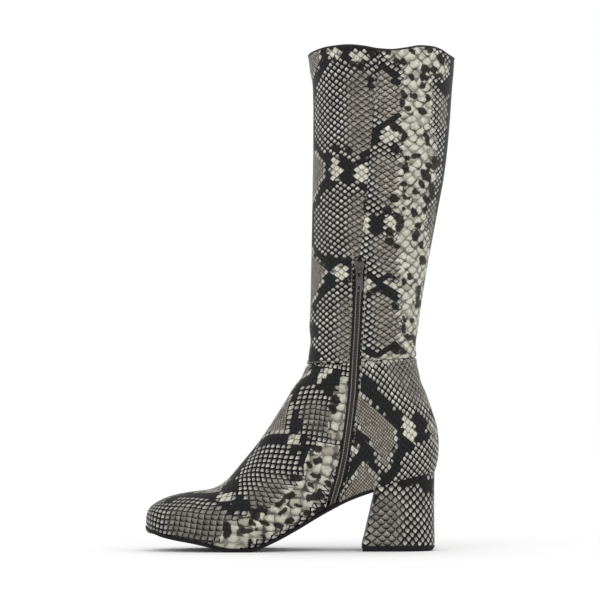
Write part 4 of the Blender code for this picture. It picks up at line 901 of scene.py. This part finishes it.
def makePlainMaterial(name):
    dark, light, smooth, rough, grainSize, depth = plainLooks[name]
    material, shader = newMaterial(name, IOR=1.5, Specular_IOR_Level=0.25)
    add = partial(addNode, material)
    grain = add("TexNoise", {"Vector": add("TexCoord", {}), "Scale": 1000 / grainSize, "Detail": 3.0})
    colour = add("Mix", {0: grain, 6: toLinear(dark), 7: toLinear(light)}, "RGBA")
    gloss = add("MapRange", [grain, *noiseSpan, smooth, rough])
    bump = add("Bump", {"Strength": 0.4, "Distance": depth * mm, "Height": grain})
    return linkShader(material, shader, Base_Color=colour, Roughness=gloss, Normal=bump)


# Zinc casting with black-nickel plating: dark mirror with soft casting waviness, brighter where rubbed
metalLook = {"dark": "#383838", "light": "#6f6e6c", "wornSize": 2.5, "roughness": (0.2, 0.36)}


def makeMetalMaterial():
    material, shader = newMaterial("black_nickel_plated_zinc", Metallic=1.0)
    add = partial(addNode, material)
    place = add("TexCoord", {})
    worn = add("TexNoise", {"Vector": place, "Scale": 1000 / metalLook["wornSize"], "Detail": 4.0})
    dark, light = toLinear(metalLook["dark"]), toLinear(metalLook["light"])
    colour = add("Mix", {0: worn, 6: dark, 7: light}, "RGBA")
    gloss = add("MapRange", [worn, *noiseSpan, *metalLook["roughness"]])
    return linkShader(material, shader, Base_Color=colour, Roughness=gloss)


printSkin = makePrintMaterial()
lining = makeLiningMaterial()
rubber, thread, tapeWeave, coilNylon, sockFelt, binding = [makePlainMaterial(name) for name in plainLooks]
metal = makeMetalMaterial()
print("materials made")

collection = bpy.context.scene.collection


def addPiece(name, mesh, materials, body, node=None):
    piece = bpy.data.objects.new(name, mesh)
    collection.objects.link(piece)
    for material in materials:
        mesh.materials.append(material)
    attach(piece, body)
    if node:
        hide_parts(node)
    return piece


# Ends a bmesh as a smooth-shaded mesh, with its edges sharp past an angle in degrees where one is given
def endMesh(builder, mesh, sharp=None):
    builder.to_mesh(mesh)
    builder.free()
    mesh.shade_smooth()
    if sharp:
        mesh.set_sharp_from_angle(angle=math.radians(sharp))
    return mesh


def weld(builder, gap):
    bmesh.ops.remove_doubles(builder, verts=builder.verts, dist=gap * mm)
    bmesh.ops.dissolve_degenerate(builder, edges=builder.edges, dist=gap / 2 * mm)


# A welded mesh from grids of points in mm, each grid with its fields
def gridMesh(name, patches):
    vertices, faces, fields = [], [], {}
    for patch in patches:
        grid = patch["points"]
        rows, columns = grid.shape[:2]
        start = sum(len(block) for block in vertices)
        vertices.append(grid.reshape(-1, 3) * mm)
        for r in range(rows - 1):
            for c in range(columns - 1):
                corner = start + r * columns + c
                quad = (corner, corner + 1, corner + columns + 1, corner + columns)
                faces.append(quad[::-1] if patch["flip"] else quad)
        for key, values in patch.get("fields", {}).items():
            fields.setdefault(key, []).append(values.reshape(-1, 3))
    mesh = bpy.data.meshes.new(name)
    mesh.from_pydata(np.concatenate(vertices).tolist(), [], faces)
    for key, blocks in fields.items():
        layer = mesh.attributes.new(key, "FLOAT_VECTOR", "POINT")
        layer.data.foreach_set("vector", np.concatenate(blocks).astype(np.float32).ravel())
    builder = bmesh.new()
    builder.from_mesh(mesh)
    weld(builder, 0.01)
    return endMesh(builder, mesh)


# Row numbers along a panel, at even distances, with a few more beside the ankle seam
def rowPlaces(first, final, part, besideSeam):
    dense = np.linspace(first, final, 160)
    ends = []
    for place in dense:
        curve = wallCurve(place, -1)
        near, far = panelEnds(curve, -1, part)
        ends.append(readCurve(curve, [near, (near + far) / 2, far], 3))
    spacing = np.linalg.norm(np.diff(np.array(ends), axis=0), axis=2).max(axis=1)
    travelled = np.concatenate([[0], np.cumsum(spacing)])
    count = int(round(travelled[-1] / skinRows["spacing"]))
    places = np.interp(np.linspace(0, travelled[-1], count + 1), travelled, dense)
    return np.unique(np.concatenate([places, seamRow + np.array(besideSeam)]))


# Nets of scales: turns per mm along and up the panel laid flat for the two directions of the net, the same
# for the belly's large cells, and the relative size of a scale from place to place across the panel
even = [(0, 1.0)]
nets = {
    "shaftFront": {"turns": (1 / 7.6, 1 / 4.9, 1 / 7.6, -1 / 4.9),
                   "cells": (1 / 10.5, 1 / 7, 1 / 10.5, -1 / 7), "sizes": even, "anchor": 0},
    "shaftBack": {"turns": (1 / 7.6, -1 / 4.9, 1 / 7.6, 1 / 4.9),
                  "cells": (1 / 11.5, -1 / 8.6, 1 / 11.5, 1 / 8.6), "sizes": even, "anchor": 0},
    "vamp": {"turns": (-1 / 4.1, 0.045, 0.03, 1 / 4.35), "cells": (-1 / 9.4, 0.02, 0.02, 1 / 7.6),
             "sizes": [(-61, 0.8), (-41, 0.85), (-8, 1.18), (2, 1.18), (20, 0.98), (40, 0.95)],
             "toeSizes": [(-119, 1.0), (-98, 1.15), (-67, 1.45), (0, 1.5)], "anchor": -61.0,
             "toeFrom": 70.0, "toeBlend": 40.0},
    "quarter": {"turns": (0.1567, 0.1777, 0.2248, -0.1516), "cells": (1 / 10.5, -1 / 7, 1 / 10.5, 1 / 7),
                "sizes": even, "anchor": 0},
    "heel": {"turns": (1 / 8.2, -1 / 6.8, 1 / 8.2, 1 / 6.8), "cells": (1 / 10.5, -1 / 8, 1 / 10.5, 1 / 8),
             "sizes": [(20, 0.66), (45, 0.82), (62, 1.02), (75, 1.3)], "anchor": 45},
}
skinRows = {"spacing": 1.5, "belowSeam": seamRow - 1e-4, "quarterFoot": 13.62}
vampRows = rowPlaces(0.0, skinRows["belowSeam"], "front", (-0.5, -1.2, -2.2, -3.4))
quarterRows = rowPlaces(skinRows["quarterFoot"], skinRows["belowSeam"], "back", (-0.03, -0.07, -0.12, -0.18))
shaftRows = rowPlaces(seamRow, topRow, "front", (0.03, 0.07, 0.12, 0.19, 0.27))
# Name, node, rows, part, points across, net, chart, and how far it darkens the print, widens the gaps and
# darkens the middles of blotches
panels = [
    ("vamp_skin", "upper", vampRows, "front", 56, "vamp", vampChart, (0.1, 0.0, 0.22)),
    ("quarter_skin", "upper", quarterRows, "back", 54, "quarter", quarterChart, (0.03, 0.08, 0.05)),
    ("shaft_front_skin", "shaft", shaftRows, "front", 52, "shaftFront", shaftFrontChart, (0.04, 0.0, 0.06)),
    ("shaft_back_skin", "shaft", shaftRows, "back", 60, "shaftBack", shaftBackChart, (0.0, 0.02, 0.0)),
]
for name, node, places, part, count, net, zones, look in panels:
    patches = [halfPanel(places, side, part, count) for side in (-1, 1)]
    for patch in patches:
        patch["fields"] = printFields(patch["points"], patch["flat"], nets[net], zones, look)
    skin = addPiece(name, gridMesh(name, patches), [printSkin, lining], "boot", node)
    wall = skin.modifiers.new("wall", "SOLIDIFY")
    wall.thickness = panelEdge["wall"] * mm
    wall.offset = -1.0
    wall.use_even_offset = False
    wall.material_offset = 1
    wall.material_offset_rim = 0
    print("panel", name, len(skin.data.polygons), "faces")


# Joins rings of vertices into a closed tube with flat ends
def closeRings(builder, rings):
    for one, two in zip(rings, rings[1:]):
        for k in range(len(one)):
            j = (k + 1) % len(one)
            builder.faces.new((one[k], one[j], two[j], two[k]))
    builder.faces.new(rings[0][::-1])
    builder.faces.new(rings[-1])


# A closed solid through loops of points in mm
def loftMesh(name, loops, sharp=40):
    builder = bmesh.new()
    closeRings(builder, [[builder.verts.new(Vector(p) * mm) for p in loop] for loop in loops])
    weld(builder, 0.02)
    bmesh.ops.recalc_face_normals(builder, faces=builder.faces)
    return endMesh(builder, bpy.data.meshes.new(name), sharp)


outsole = {
    "thick": 2.5, "overhang": 0.5, "topGap": 0.1, "seatGap": 0.4, "stopsAt": 60.4, "corner": 0.7,
    "cornerShare": 0.3, "cornerTurns": (0, 45, 90),
}


def soleLoops():
    rows = smoothRows(lastSections, np.concatenate([np.linspace(0, 5, 31), np.linspace(5.2, 16, 55)]))
    inner = np.stack([rows[:, baseX], rows[:, middleY] - rows[:, innerSole]], axis=1)
    outer = np.stack([rows[:, baseX], rows[:, middleY] + rows[:, outerSole]], axis=1)
    ring = np.concatenate([inner, outer[-1:0:-1]])
    ahead = np.roll(ring, -1, axis=0) - np.roll(ring, 1, axis=0)
    normal = np.stack([-ahead[:, 1], ahead[:, 0]], axis=1)
    ring = ring - outsole["overhang"] * normal / np.linalg.norm(normal, axis=1)[:, None]
    count = len(inner)
    inner, outer = ring[:count], np.concatenate([ring[:1], ring[count:][::-1]])
    loops = []
    for a, b, z in zip(inner, outer, rows[:, baseZ]):
        if max(a[0], b[0]) > outsole["stopsAt"]:
            break
        top = z - outsole["topGap"]
        low = max(0.0, z - outsole["seatGap"] - outsole["thick"])
        corner = min(outsole["corner"], outsole["cornerShare"] * abs(b[1] - a[1]))
        sides = []
        for (x, y), way in ((a, 1), (b, -1)):
            turns = [math.radians(turn) for turn in outsole["cornerTurns"]]
            side = [(x, y + way * corner * (1 - math.sin(turn)), low + corner * (1 - math.cos(turn)))
                    for turn in turns]
            sides.append(side + [(x, y, top)])
        loops.append(sides[0] + sides[1][::-1])
    return loops


addPiece("outsole_moulded", loftMesh("outsole_moulded", soleLoops()), [rubber], "boot",
         "outsole")

heel = {
    # front, back, half width, squareness
    "seat": (61.7, 110.3, 28.8, 2.5), "floor": (50.8, 110.4, 27.0, 3.4),
    "hollow": 2.0, "waist": 1.0, "backWaist": 0.3, "bottom": 4.6, "seatGap": 0.1, "edge": 0.6,
    "edgeShare": 0.03, "breastFrom": 0.7, "look": (0.06, 0.07, 0.22), "wear": 2.2,
    # height, inset and share of the wear at the back for each level of the top piece
    "tipLevels": ((0.0, 0.5, 1.0), (0.35, 0.12, 0.9), (1.2, 0.0, 0.55), (2.2, 0.0, 0.15), (3.0, 0.0, 0.0),
                  (4.1, 0.0, 0.0), (4.5, 0.3, 0.0)),
}


# Half of the heel's plan from the middle of its back round the corner to the middle of its hollow breast
def heelPlan(front, back, half, power):
    turns = np.linspace(0, math.pi / 2, 46)
    share = np.linspace(1, 0, 16)[1:]
    x = front + (back - front) * np.abs(np.cos(turns)) ** (2 / power)
    x = np.concatenate([x, front + heel["hollow"] * (1 - share**2)])
    y = np.concatenate([half * np.abs(np.sin(turns)) ** (2 / power), half * share])
    steps = np.concatenate([[0], np.cumsum(np.hypot(np.diff(x), np.diff(y)))])
    along = np.linspace(0, steps[-1], 74)
    return np.interp(along, steps, x), np.interp(along, steps, y), along


def seatHeight(x):
    rows = smoothRows(lastSections, np.linspace(13, last["heelBackRow"], 60))
    return np.interp(x, rows[:, baseX], rows[:, baseZ])


def heelPatch(side):
    points, flat = [], []
    for share in np.concatenate([[0, 0.012], np.linspace(heel["edgeShare"], 0.97, 24), [1.0]]):
        levels = zip(heel["floor"], heel["seat"])
        front, back, half, power = [low + (high - low) * share for low, high in levels]
        swell = math.sin(math.pi * share)
        x, y, along = heelPlan(front, back - heel["backWaist"] * swell, half - heel["waist"] * swell, power)
        rounding = heel["edge"] * max(0.0, 1 - share / heel["edgeShare"]) ** 2
        inward = np.where(along < along[-1] * heel["breastFrom"], -1, 1)
        x = x + rounding * inward * np.linspace(1, 0, len(x))
        z = heel["bottom"] + (seatHeight(x) - heel["seatGap"] - heel["bottom"]) * share
        points.append(np.stack([x, side * (y - np.minimum(y, rounding)), z], axis=1))
        flat.append(np.stack([along, z], axis=1))
    points, flat = np.array(points), np.array(flat)
    fields = printFields(points, flat, nets["heel"], heelChart, heel["look"])
    return {"points": points, "fields": fields, "flip": side > 0}


def heelMesh():
    mesh = gridMesh("heel_cover", [heelPatch(side) for side in (-1, 1)])
    builder = bmesh.new()
    builder.from_mesh(mesh)
    bmesh.ops.holes_fill(builder, edges=[e for e in builder.edges if e.is_boundary], sides=0)
    bmesh.ops.recalc_face_normals(builder, faces=builder.faces)
    return endMesh(builder, mesh, 50)


def tipLoops():
    loops = []
    front, back, half, power = heel["floor"]
    for z, inset, worn in heel["tipLevels"]:
        x, y, _ = heelPlan(front + inset, back - inset, half - inset, power)
        x = x - worn * heel["wear"] * np.clip(2 * (x - front) / (back - front) - 1, 0, 2) ** 2
        ring = np.concatenate([np.stack([x, -y], axis=1), np.stack([x, y], axis=1)[-2:0:-1]])
        loops.append([(px, py, z) for px, py in ring])
    return loops


addPiece("heel_cover", heelMesh(), [printSkin], "boot", "heel_block")
addPiece("heel_tip", loftMesh("heel_tip", tipLoops(), 50), [rubber], "boot", "heel_top_piece")
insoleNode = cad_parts["insole"]
insoleNode.data.materials.clear()
insoleNode.data.materials.append(sockFelt)
print("sole and heel made")

zipFoot = {"soleSlope": (0.88, 0.47), "blend": 22.0}


# Middle line of the zip by height, with the direction across it, which turns along the sole at its foot
def zipStations(heights):
    x, below, above = [np.interp(heights + step, seamLine[:, 1], seamLine[:, 0]) for step in (0, -2, 2)]
    square = np.stack([np.full_like(x, 4.0), below - above], axis=1)
    square /= np.linalg.norm(square, axis=1)[:, None]
    nearSole = np.clip(1 - (heights - zipSlot["foot"]) / zipFoot["blend"], 0, 1)[:, None]
    aside = square * (1 - nearSole) + np.array(zipFoot["soleSlope"]) * nearSole
    return np.stack([x, heights], axis=1), aside / np.linalg.norm(aside, axis=1)[:, None]


tape = {"half": 6.4, "proud": -2.5, "thick": 0.8, "rib": 0.1, "ribTurn": 2.1, "fromFoot": 5.0, "pastTop": 2.0}


def tapeLoops():
    heights = np.linspace(zipSlot["foot"] + tape["fromFoot"], zipSlot["top"] + tape["pastTop"], 140)
    middle, aside = zipStations(heights)
    loops = [[] for _ in middle]
    across = np.linspace(-tape["half"], tape["half"], 15)
    for lift, order in ((0.0, across), (-tape["thick"], across[::-1])):
        for w in order:
            place = middle + aside * w
            rib = tape["rib"] * abs(math.sin(w * tape["ribTurn"])) if lift == 0.0 else 0.0
            points, _ = innerWall(place[:, 0], place[:, 1], tape["proud"] + lift + rib)
            for loop, point in zip(loops, points):
                loop.append(point)
    return loops


addPiece("zip_tape_woven", loftMesh("zip_tape_woven", tapeLoops()), [tapeWeave], "boot",
         "zip_tape")

# Each ring of a bar is a share of its length and a swell
barForm = {"sides": 6, "rings": ((0.0, 0.45), (0.12, 0.9), (0.5, 1.0), (0.88, 0.9), (1.0, 0.45))}


# Thread-like bars with rounded ends: start and end in mm, the way out of the wall, and radius
def barMesh(name, bars):
    builder = bmesh.new()
    for start, end, out, radius in bars:
        start, end = Vector(start) * mm, Vector(end) * mm
        along = (end - start).normalized()
        across = along.cross(Vector(out)).normalized()
        up = across.cross(along)
        angles = [2 * math.pi * k / barForm["sides"] for k in range(barForm["sides"])]
        spokes = [across * math.cos(angle) + up * math.sin(angle) for angle in angles]
        rings = []
        for share, swell in barForm["rings"]:
            middle, reach = start.lerp(end, share), radius * mm * swell
            rings.append([builder.verts.new(middle + spoke * reach) for spoke in spokes])
        closeRings(builder, rings)
    bmesh.ops.recalc_face_normals(builder, faces=builder.faces)
    return endMesh(builder, bpy.data.meshes.new(name))


# Bars along both sides of the zip, so far out from its middle
def barsAlongZip(heights, length, out, proud, radius):
    bars = []
    for way in (-1, 1):
        ends = []
        for shift in (0.0, length):
            middle, aside = zipStations(heights + shift)
            place = middle + aside * way * out
            ends.append(innerWall(place[:, 0], place[:, 1], proud))
        (starts, normals), (stops, _) = ends
        bars += [(start, stop, normal, radius) for start, stop, normal in zip(starts, stops, normals)]
    return bars


coil = {
    "fromFoot": 3.0, "pitch": 1.25, "reach": 1.9, "overlap": 0.7, "lean": 0.35, "radius": 0.42,
    "proud": -0.35, "innerRise": 0.3, "outerDrop": 0.5,
    "highlightAt": 1.65, "highlightLength": 0.62, "highlightRadius": 0.5, "highlightRise": 0.05,   # pale bars on its turns: a painted highlight on the bend of each turn
}
slider = {
    "height": 232.0, "length": 11.0, "half": 4.4, "taper": 1.2, "topCut": 0.8, "corner": 3.0, "plate": 1.5,
    "soft": 0.45, "coilTop": 0.5, "clear": 0.4,
    "neckHalf": (3.3, 3.0), "neckInset": 1.2, "neckCorner": 1.0, "neckThick": 2.6, "neckSoft": 0.3,
    "neckDrop": 1.2,
    "crownHalf": 1.2, "crownLength": 7.0, "crownTaper": 0.6, "crownHeight": 3.2, "crownSink": 0.4,
    "crownCorner": 0.9, "crownSoft": 0.35, "crownShift": 0.8,
    "holeLength": 3.0, "holeHeight": 2.2, "holeFloor": 0.05, "holeCorner": 0.6,
}
coilFoot, coilEnd = zipSlot["foot"] + coil["fromFoot"], slider["height"] - slider["length"] / 2


def coilBars():
    middle, aside = zipStations(np.arange(coilFoot, coilEnd, coil["pitch"] / 2))
    way = np.where(np.arange(len(middle)) % 2, 1, -1)[:, None]
    inner, outer = middle - aside * way * coil["overlap"], middle + aside * way * coil["reach"]
    starts, normals = innerWall(inner[:, 0], inner[:, 1] + coil["lean"], coil["proud"] + coil["innerRise"])
    stops, _ = innerWall(outer[:, 0], outer[:, 1], coil["proud"] - coil["outerDrop"])
    return [(start, stop, normal, coil["radius"]) for start, stop, normal in zip(starts, stops, normals)]


# Pale bars in the thread's material along both sides of the coil, each a painted highlight on the bend of a
# coil turn
paintedHighlights = barsAlongZip(np.arange(coilFoot, coilEnd, coil["pitch"]), coil["highlightLength"], coil["highlightAt"],
                     coil["proud"] + coil["highlightRise"], coil["highlightRadius"])
addPiece("zip_coil_turns", barMesh("zip_coil_turns", coilBars()), [coilNylon], "boot",
         "zip_coil")
# the coil's painted highlights, as a piece of their own
addPiece("zip_coil_painted_highlights", barMesh("zip_coil_painted_highlights", paintedHighlights), [thread], "boot")


def roundedOutline(halfTop, halfBottom, top, bottom, corner):
    centres = [(halfBottom - corner, bottom + corner, -90), (halfTop - corner, top - corner, 0),
               (-halfTop + corner, top - corner, 90), (-halfBottom + corner, bottom + corner, 180)]
    points = []
    for x, y, start in centres:
        for turn in np.linspace(start, start + 90, 8):
            angle = math.radians(turn)
            points.append((x + corner * math.cos(angle), y + corner * math.sin(angle)))
    return points


# A plate with softened edges from outlines in mm, the first its edge and the others holes
def plateMesh(name, outlines, thick, soft):
    curve = bpy.data.curves.new(name, "CURVE")
    curve.dimensions = "2D"
    curve.fill_mode = "BOTH"
    curve.extrude = (thick / 2 - soft) * mm
    curve.bevel_depth = soft * mm
    curve.bevel_resolution = 3
    curve.offset = -soft * mm
    for outline in outlines:
        spline = curve.splines.new("POLY")
        spline.points.add(len(outline) - 1)
        spline.use_cyclic_u = True
        for point, (x, y) in zip(spline.points, outline):
            point.co = (x * mm, y * mm, 0.0, 1.0)
    drawn = bpy.data.objects.new(name, curve)
    collection.objects.link(drawn)
    mesh = bpy.data.meshes.new_from_object(drawn.evaluated_get(bpy.context.evaluated_depsgraph_get()))
    bpy.data.objects.remove(drawn, do_unlink=True)
    return mesh


def joinedMesh(name, meshes):
    builder = bmesh.new()
    for mesh, place in meshes:
        mesh.transform(place)
        builder.from_mesh(mesh)
    bmesh.ops.remove_doubles(builder, verts=builder.verts, dist=0.005 * mm)
    return endMesh(builder, bpy.data.meshes.new(name), 35)


# The slider's own frame, x across, y up the zip and z out of the wall, moved along y and z in mm
def sliderPlace(up, out):
    x = float(np.interp(slider["height"], seamLine[:, 1], seamLine[:, 0]))
    point, _ = innerWall([x], [slider["height"]])
    turn = Matrix(((1, 0, 0, 0), (0, 0, -1, 0), (0, 1, 0, 0), (0, 0, 0, 1)))
    return Matrix.Translation(Vector(point[0]) * mm) @ turn @ Matrix.Translation(Vector((0, up, out)) * mm)


sliderLow = slider["coilTop"] + slider["clear"]
sliderTop = sliderLow + slider["plate"]


def sliderMesh():
    s = slider
    half, inset, hole = s["length"] / 2, s["neckInset"], s["holeLength"] / 2
    foot = s["crownLength"] / 2
    plateEdge = roundedOutline(s["half"], s["half"] - s["taper"], half - s["topCut"], -half, s["corner"])
    neckEdge = roundedOutline(*s["neckHalf"], half - inset, -half + inset, s["neckCorner"])
    # crown: an arch over the pull's bar, seen from the side
    arch = roundedOutline(foot - s["crownTaper"], foot, s["crownHeight"], -s["crownSink"], s["crownCorner"])
    gap = roundedOutline(hole, hole, s["holeHeight"], s["holeFloor"], s["holeCorner"])
    onEdge = Matrix(((0, 0, 1, 0), (1, 0, 0, 0), (0, 1, 0, 0), (0, 0, 0, 1)))
    plate = plateMesh("slider_plate", [plateEdge], s["plate"], s["soft"])
    neck = plateMesh("slider_neck", [neckEdge], s["neckThick"], s["neckSoft"])
    crown = plateMesh("slider_crown", [arch, gap[::-1]], 2 * s["crownHalf"], s["crownSoft"])
    return joinedMesh("slider_body", [
        (plate, sliderPlace(0, sliderLow + s["plate"] / 2)),
        (neck, sliderPlace(0, sliderLow - s["neckDrop"])),
        (crown, sliderPlace(s["crownShift"], sliderTop) @ onEdge),
    ])


pull = {
    "length": 22.0, "half": 2.7, "flare": 0.3, "corner": 1.2, "thick": 1.2, "soft": 0.3, "bar": 1.3,
    "windowHalf": 1.75, "windowLength": 8.4, "eye": 1.4, "eyeUp": 3.2, "eyeCorner": 0.3,
}


# The pull tab hangs from its bar in the crown's hole, with a window below the bar and an eye near its end
def pullMesh():
    p = pull
    top, window = p["bar"] / 2, p["windowHalf"]
    eyeAt = top - p["length"] + p["eyeUp"]
    outlines = [
        roundedOutline(p["half"] + p["flare"], p["half"], top, top - p["length"], p["corner"]),
        roundedOutline(window, window, -top, -top - p["windowLength"], p["corner"])[::-1],
        roundedOutline(p["eye"], p["eye"], eyeAt + p["eye"], eyeAt - p["eye"], p["eyeCorner"])[::-1],
    ]
    hang = sliderPlace(slider["crownShift"], sliderTop + slider["holeHeight"] / 2)
    return joinedMesh("pull_tab", [(plateMesh("pull_tab", outlines, p["thick"], p["soft"]), hang)])


addPiece("slider_body", sliderMesh(), [metal], "boot", "zip_slider")
addPiece("pull_tab", pullMesh(), [metal], "zip_pull", "zip_pull")
print("zip made")

stitch = {
    "length": 2.1, "pitch": 2.9, "radius": 0.24, "proud": 0.12, "fromSlot": 1.7, "fromFoot": 4.0,
    "pastTop": 3.0, "fromAnkle": 1.8, "ankleProud": 0.25, "ankleStart": 1.0, "ankleEnd": 2.5,
    "behindSlot": 3.0, "aheadOfSlot": 1.0,
}


# Two rows of stitches round the ankle, above and below the seam, left out across the zip
def ankleStitches():
    bars = []
    for level in (-stitch["fromAnkle"], stitch["fromAnkle"]):
        for side in (-1, 1):
            curve = wallCurve(seamRow, side)
            slotFrom = slotEdge(curve, side, 1) - stitch["behindSlot"]
            slotTo = slotEdge(curve, side, -1) + stitch["aheadOfSlot"]
            final = curve[-1, curveRun] - stitch["ankleEnd"]
            for run in np.arange(stitch["ankleStart"], final, stitch["pitch"]):
                if slotFrom < run < slotTo:
                    continue
                start, end = [Vector(p) for p in readCurve(curve, [run, run + stitch["length"]], 3)]
                out = (end - start).cross(Vector((0, 0, 1))).normalized()
                if out.y * side < 0:
                    out = -out
                lift = Vector((0, 0, level)) + out * stitch["ankleProud"]
                bars.append((start + lift, end + lift, out, stitch["radius"]))
    return bars


seamFoot, seamEnd = zipSlot["foot"] + stitch["fromFoot"], zipSlot["top"] + stitch["pastTop"]
seamHeights = np.arange(seamFoot, seamEnd, stitch["pitch"])
zipSeam = barsAlongZip(seamHeights, stitch["length"], zipSlot["half"] + stitch["fromSlot"], stitch["proud"],
                       stitch["radius"])
addPiece("zip_stitching", barMesh("zip_stitching", zipSeam), [thread], "boot")
addPiece("ankle_stitching", barMesh("ankle_stitching", ankleStitches()), [thread], "boot")

toplineEdge = {"halfWidth": 1.0, "halfHeight": 0.8, "inset": 0.75, "drop": 0.65, "points": 150, "sides": 16}


# A narrow folded binding along the topline
def bindingMesh():
    e = toplineEdge
    curves = [wallCurve(topRow, side) for side in (-1, 1)]
    inner, outer = [readCurve(curve, np.linspace(0, curve[-1, curveRun], e["points"]), 3) for curve in curves]
    loop = np.concatenate([inner, outer[-2:0:-1]])
    ahead = np.roll(loop, -1, axis=0) - np.roll(loop, 1, axis=0)
    ahead /= np.linalg.norm(ahead, axis=1)[:, None]
    out = np.cross(ahead, np.array([0.0, 0.0, 1.0]))
    out /= np.linalg.norm(out, axis=1)[:, None]
    out *= np.sign(np.sum(out * (loop - loop.mean(axis=0)), axis=1))[:, None]
    rings = []
    for angle in np.arange(e["sides"]) * 2 * math.pi / e["sides"]:
        # a rounded box in section, so that it covers both corners of the rim
        circle = (math.cos(angle), math.sin(angle))
        wide, high = [math.copysign(math.sqrt(abs(part)), part) for part in circle]
        ring = loop + out * (wide * e["halfWidth"] - e["inset"])
        ring[:, 2] += high * e["halfHeight"] - e["drop"]
        rings.append(ring)
    grid = np.array(rings + rings[:1])
    grid = np.concatenate([grid, grid[:, :1]], axis=1)
    mesh = gridMesh("topline_binding", [{"points": grid, "flip": False}])
    builder = bmesh.new()
    builder.from_mesh(mesh)
    bmesh.ops.recalc_face_normals(builder, faces=builder.faces)
    return endMesh(builder, mesh)


addPiece("topline_binding", bindingMesh(), [binding], "boot")
print("stitching and binding made")

studio = {
    "floorRadius": 40.0, "white": "#ffffff", "world": 1.0, "cameraDistance": 4.0, "cameraHeight": 0.205,
    "frameWidth": 0.492, "sensor": 36.0, "reach": 100.0, "lampSize": 1.6, "aim": (0, 0, 0.2),
    # place and watts
    "lamps": {"key_softbox": ((-1.5, -2.0, 1.6), 8.0), "fill_softbox": ((1.8, -1.6, 1.0), 3.0)},
}


def makeStudio():
    scene = bpy.context.scene
    builder = bmesh.new()
    bmesh.ops.create_circle(builder, cap_ends=True, radius=studio["floorRadius"], segments=96)
    mesh = bpy.data.meshes.new("studio_floor")
    builder.to_mesh(mesh)
    builder.free()
    floor = bpy.data.objects.new("studio_floor", mesh)
    collection.objects.link(floor)
    # matt paper: pale, with no gloss
    paper, _ = newMaterial("matt_paper_floor", Base_Color=toLinear(studio["white"]), Roughness=0.95,
                           Specular_IOR_Level=0.0)
    mesh.materials.append(paper)
    world = bpy.data.worlds.new("studio_light")
    world.use_nodes = True
    background = world.node_tree.nodes["Background"]
    background.inputs["Color"].default_value = toLinear(studio["white"])
    background.inputs["Strength"].default_value = studio["world"]
    scene.world = world
    for name, (place, power) in studio["lamps"].items():
        lamp = bpy.data.lights.new(name, "AREA")
        lamp.size = studio["lampSize"]
        lamp.energy = power
        holder = bpy.data.objects.new(name, lamp)
        collection.objects.link(holder)
        holder.location = place
        holder.rotation_euler = (Vector(studio["aim"]) - Vector(place)).to_track_quat("-Z", "Y").to_euler()
    camera = bpy.data.objects.new("photo_camera", bpy.data.cameras.new("photo_camera"))
    collection.objects.link(camera)
    camera.location = (0.0, -studio["cameraDistance"], studio["cameraHeight"])
    camera.rotation_euler = (math.pi / 2, 0.0, 0.0)
    camera.data.sensor_width = studio["sensor"]
    camera.data.lens = studio["sensor"] * studio["cameraDistance"] / studio["frameWidth"]
    camera.data.clip_end = studio["reach"]
    scene.camera = camera
    scene.view_settings.view_transform = "Standard"
    scene.view_settings.look = "None"


makeStudio()
print("studio made")
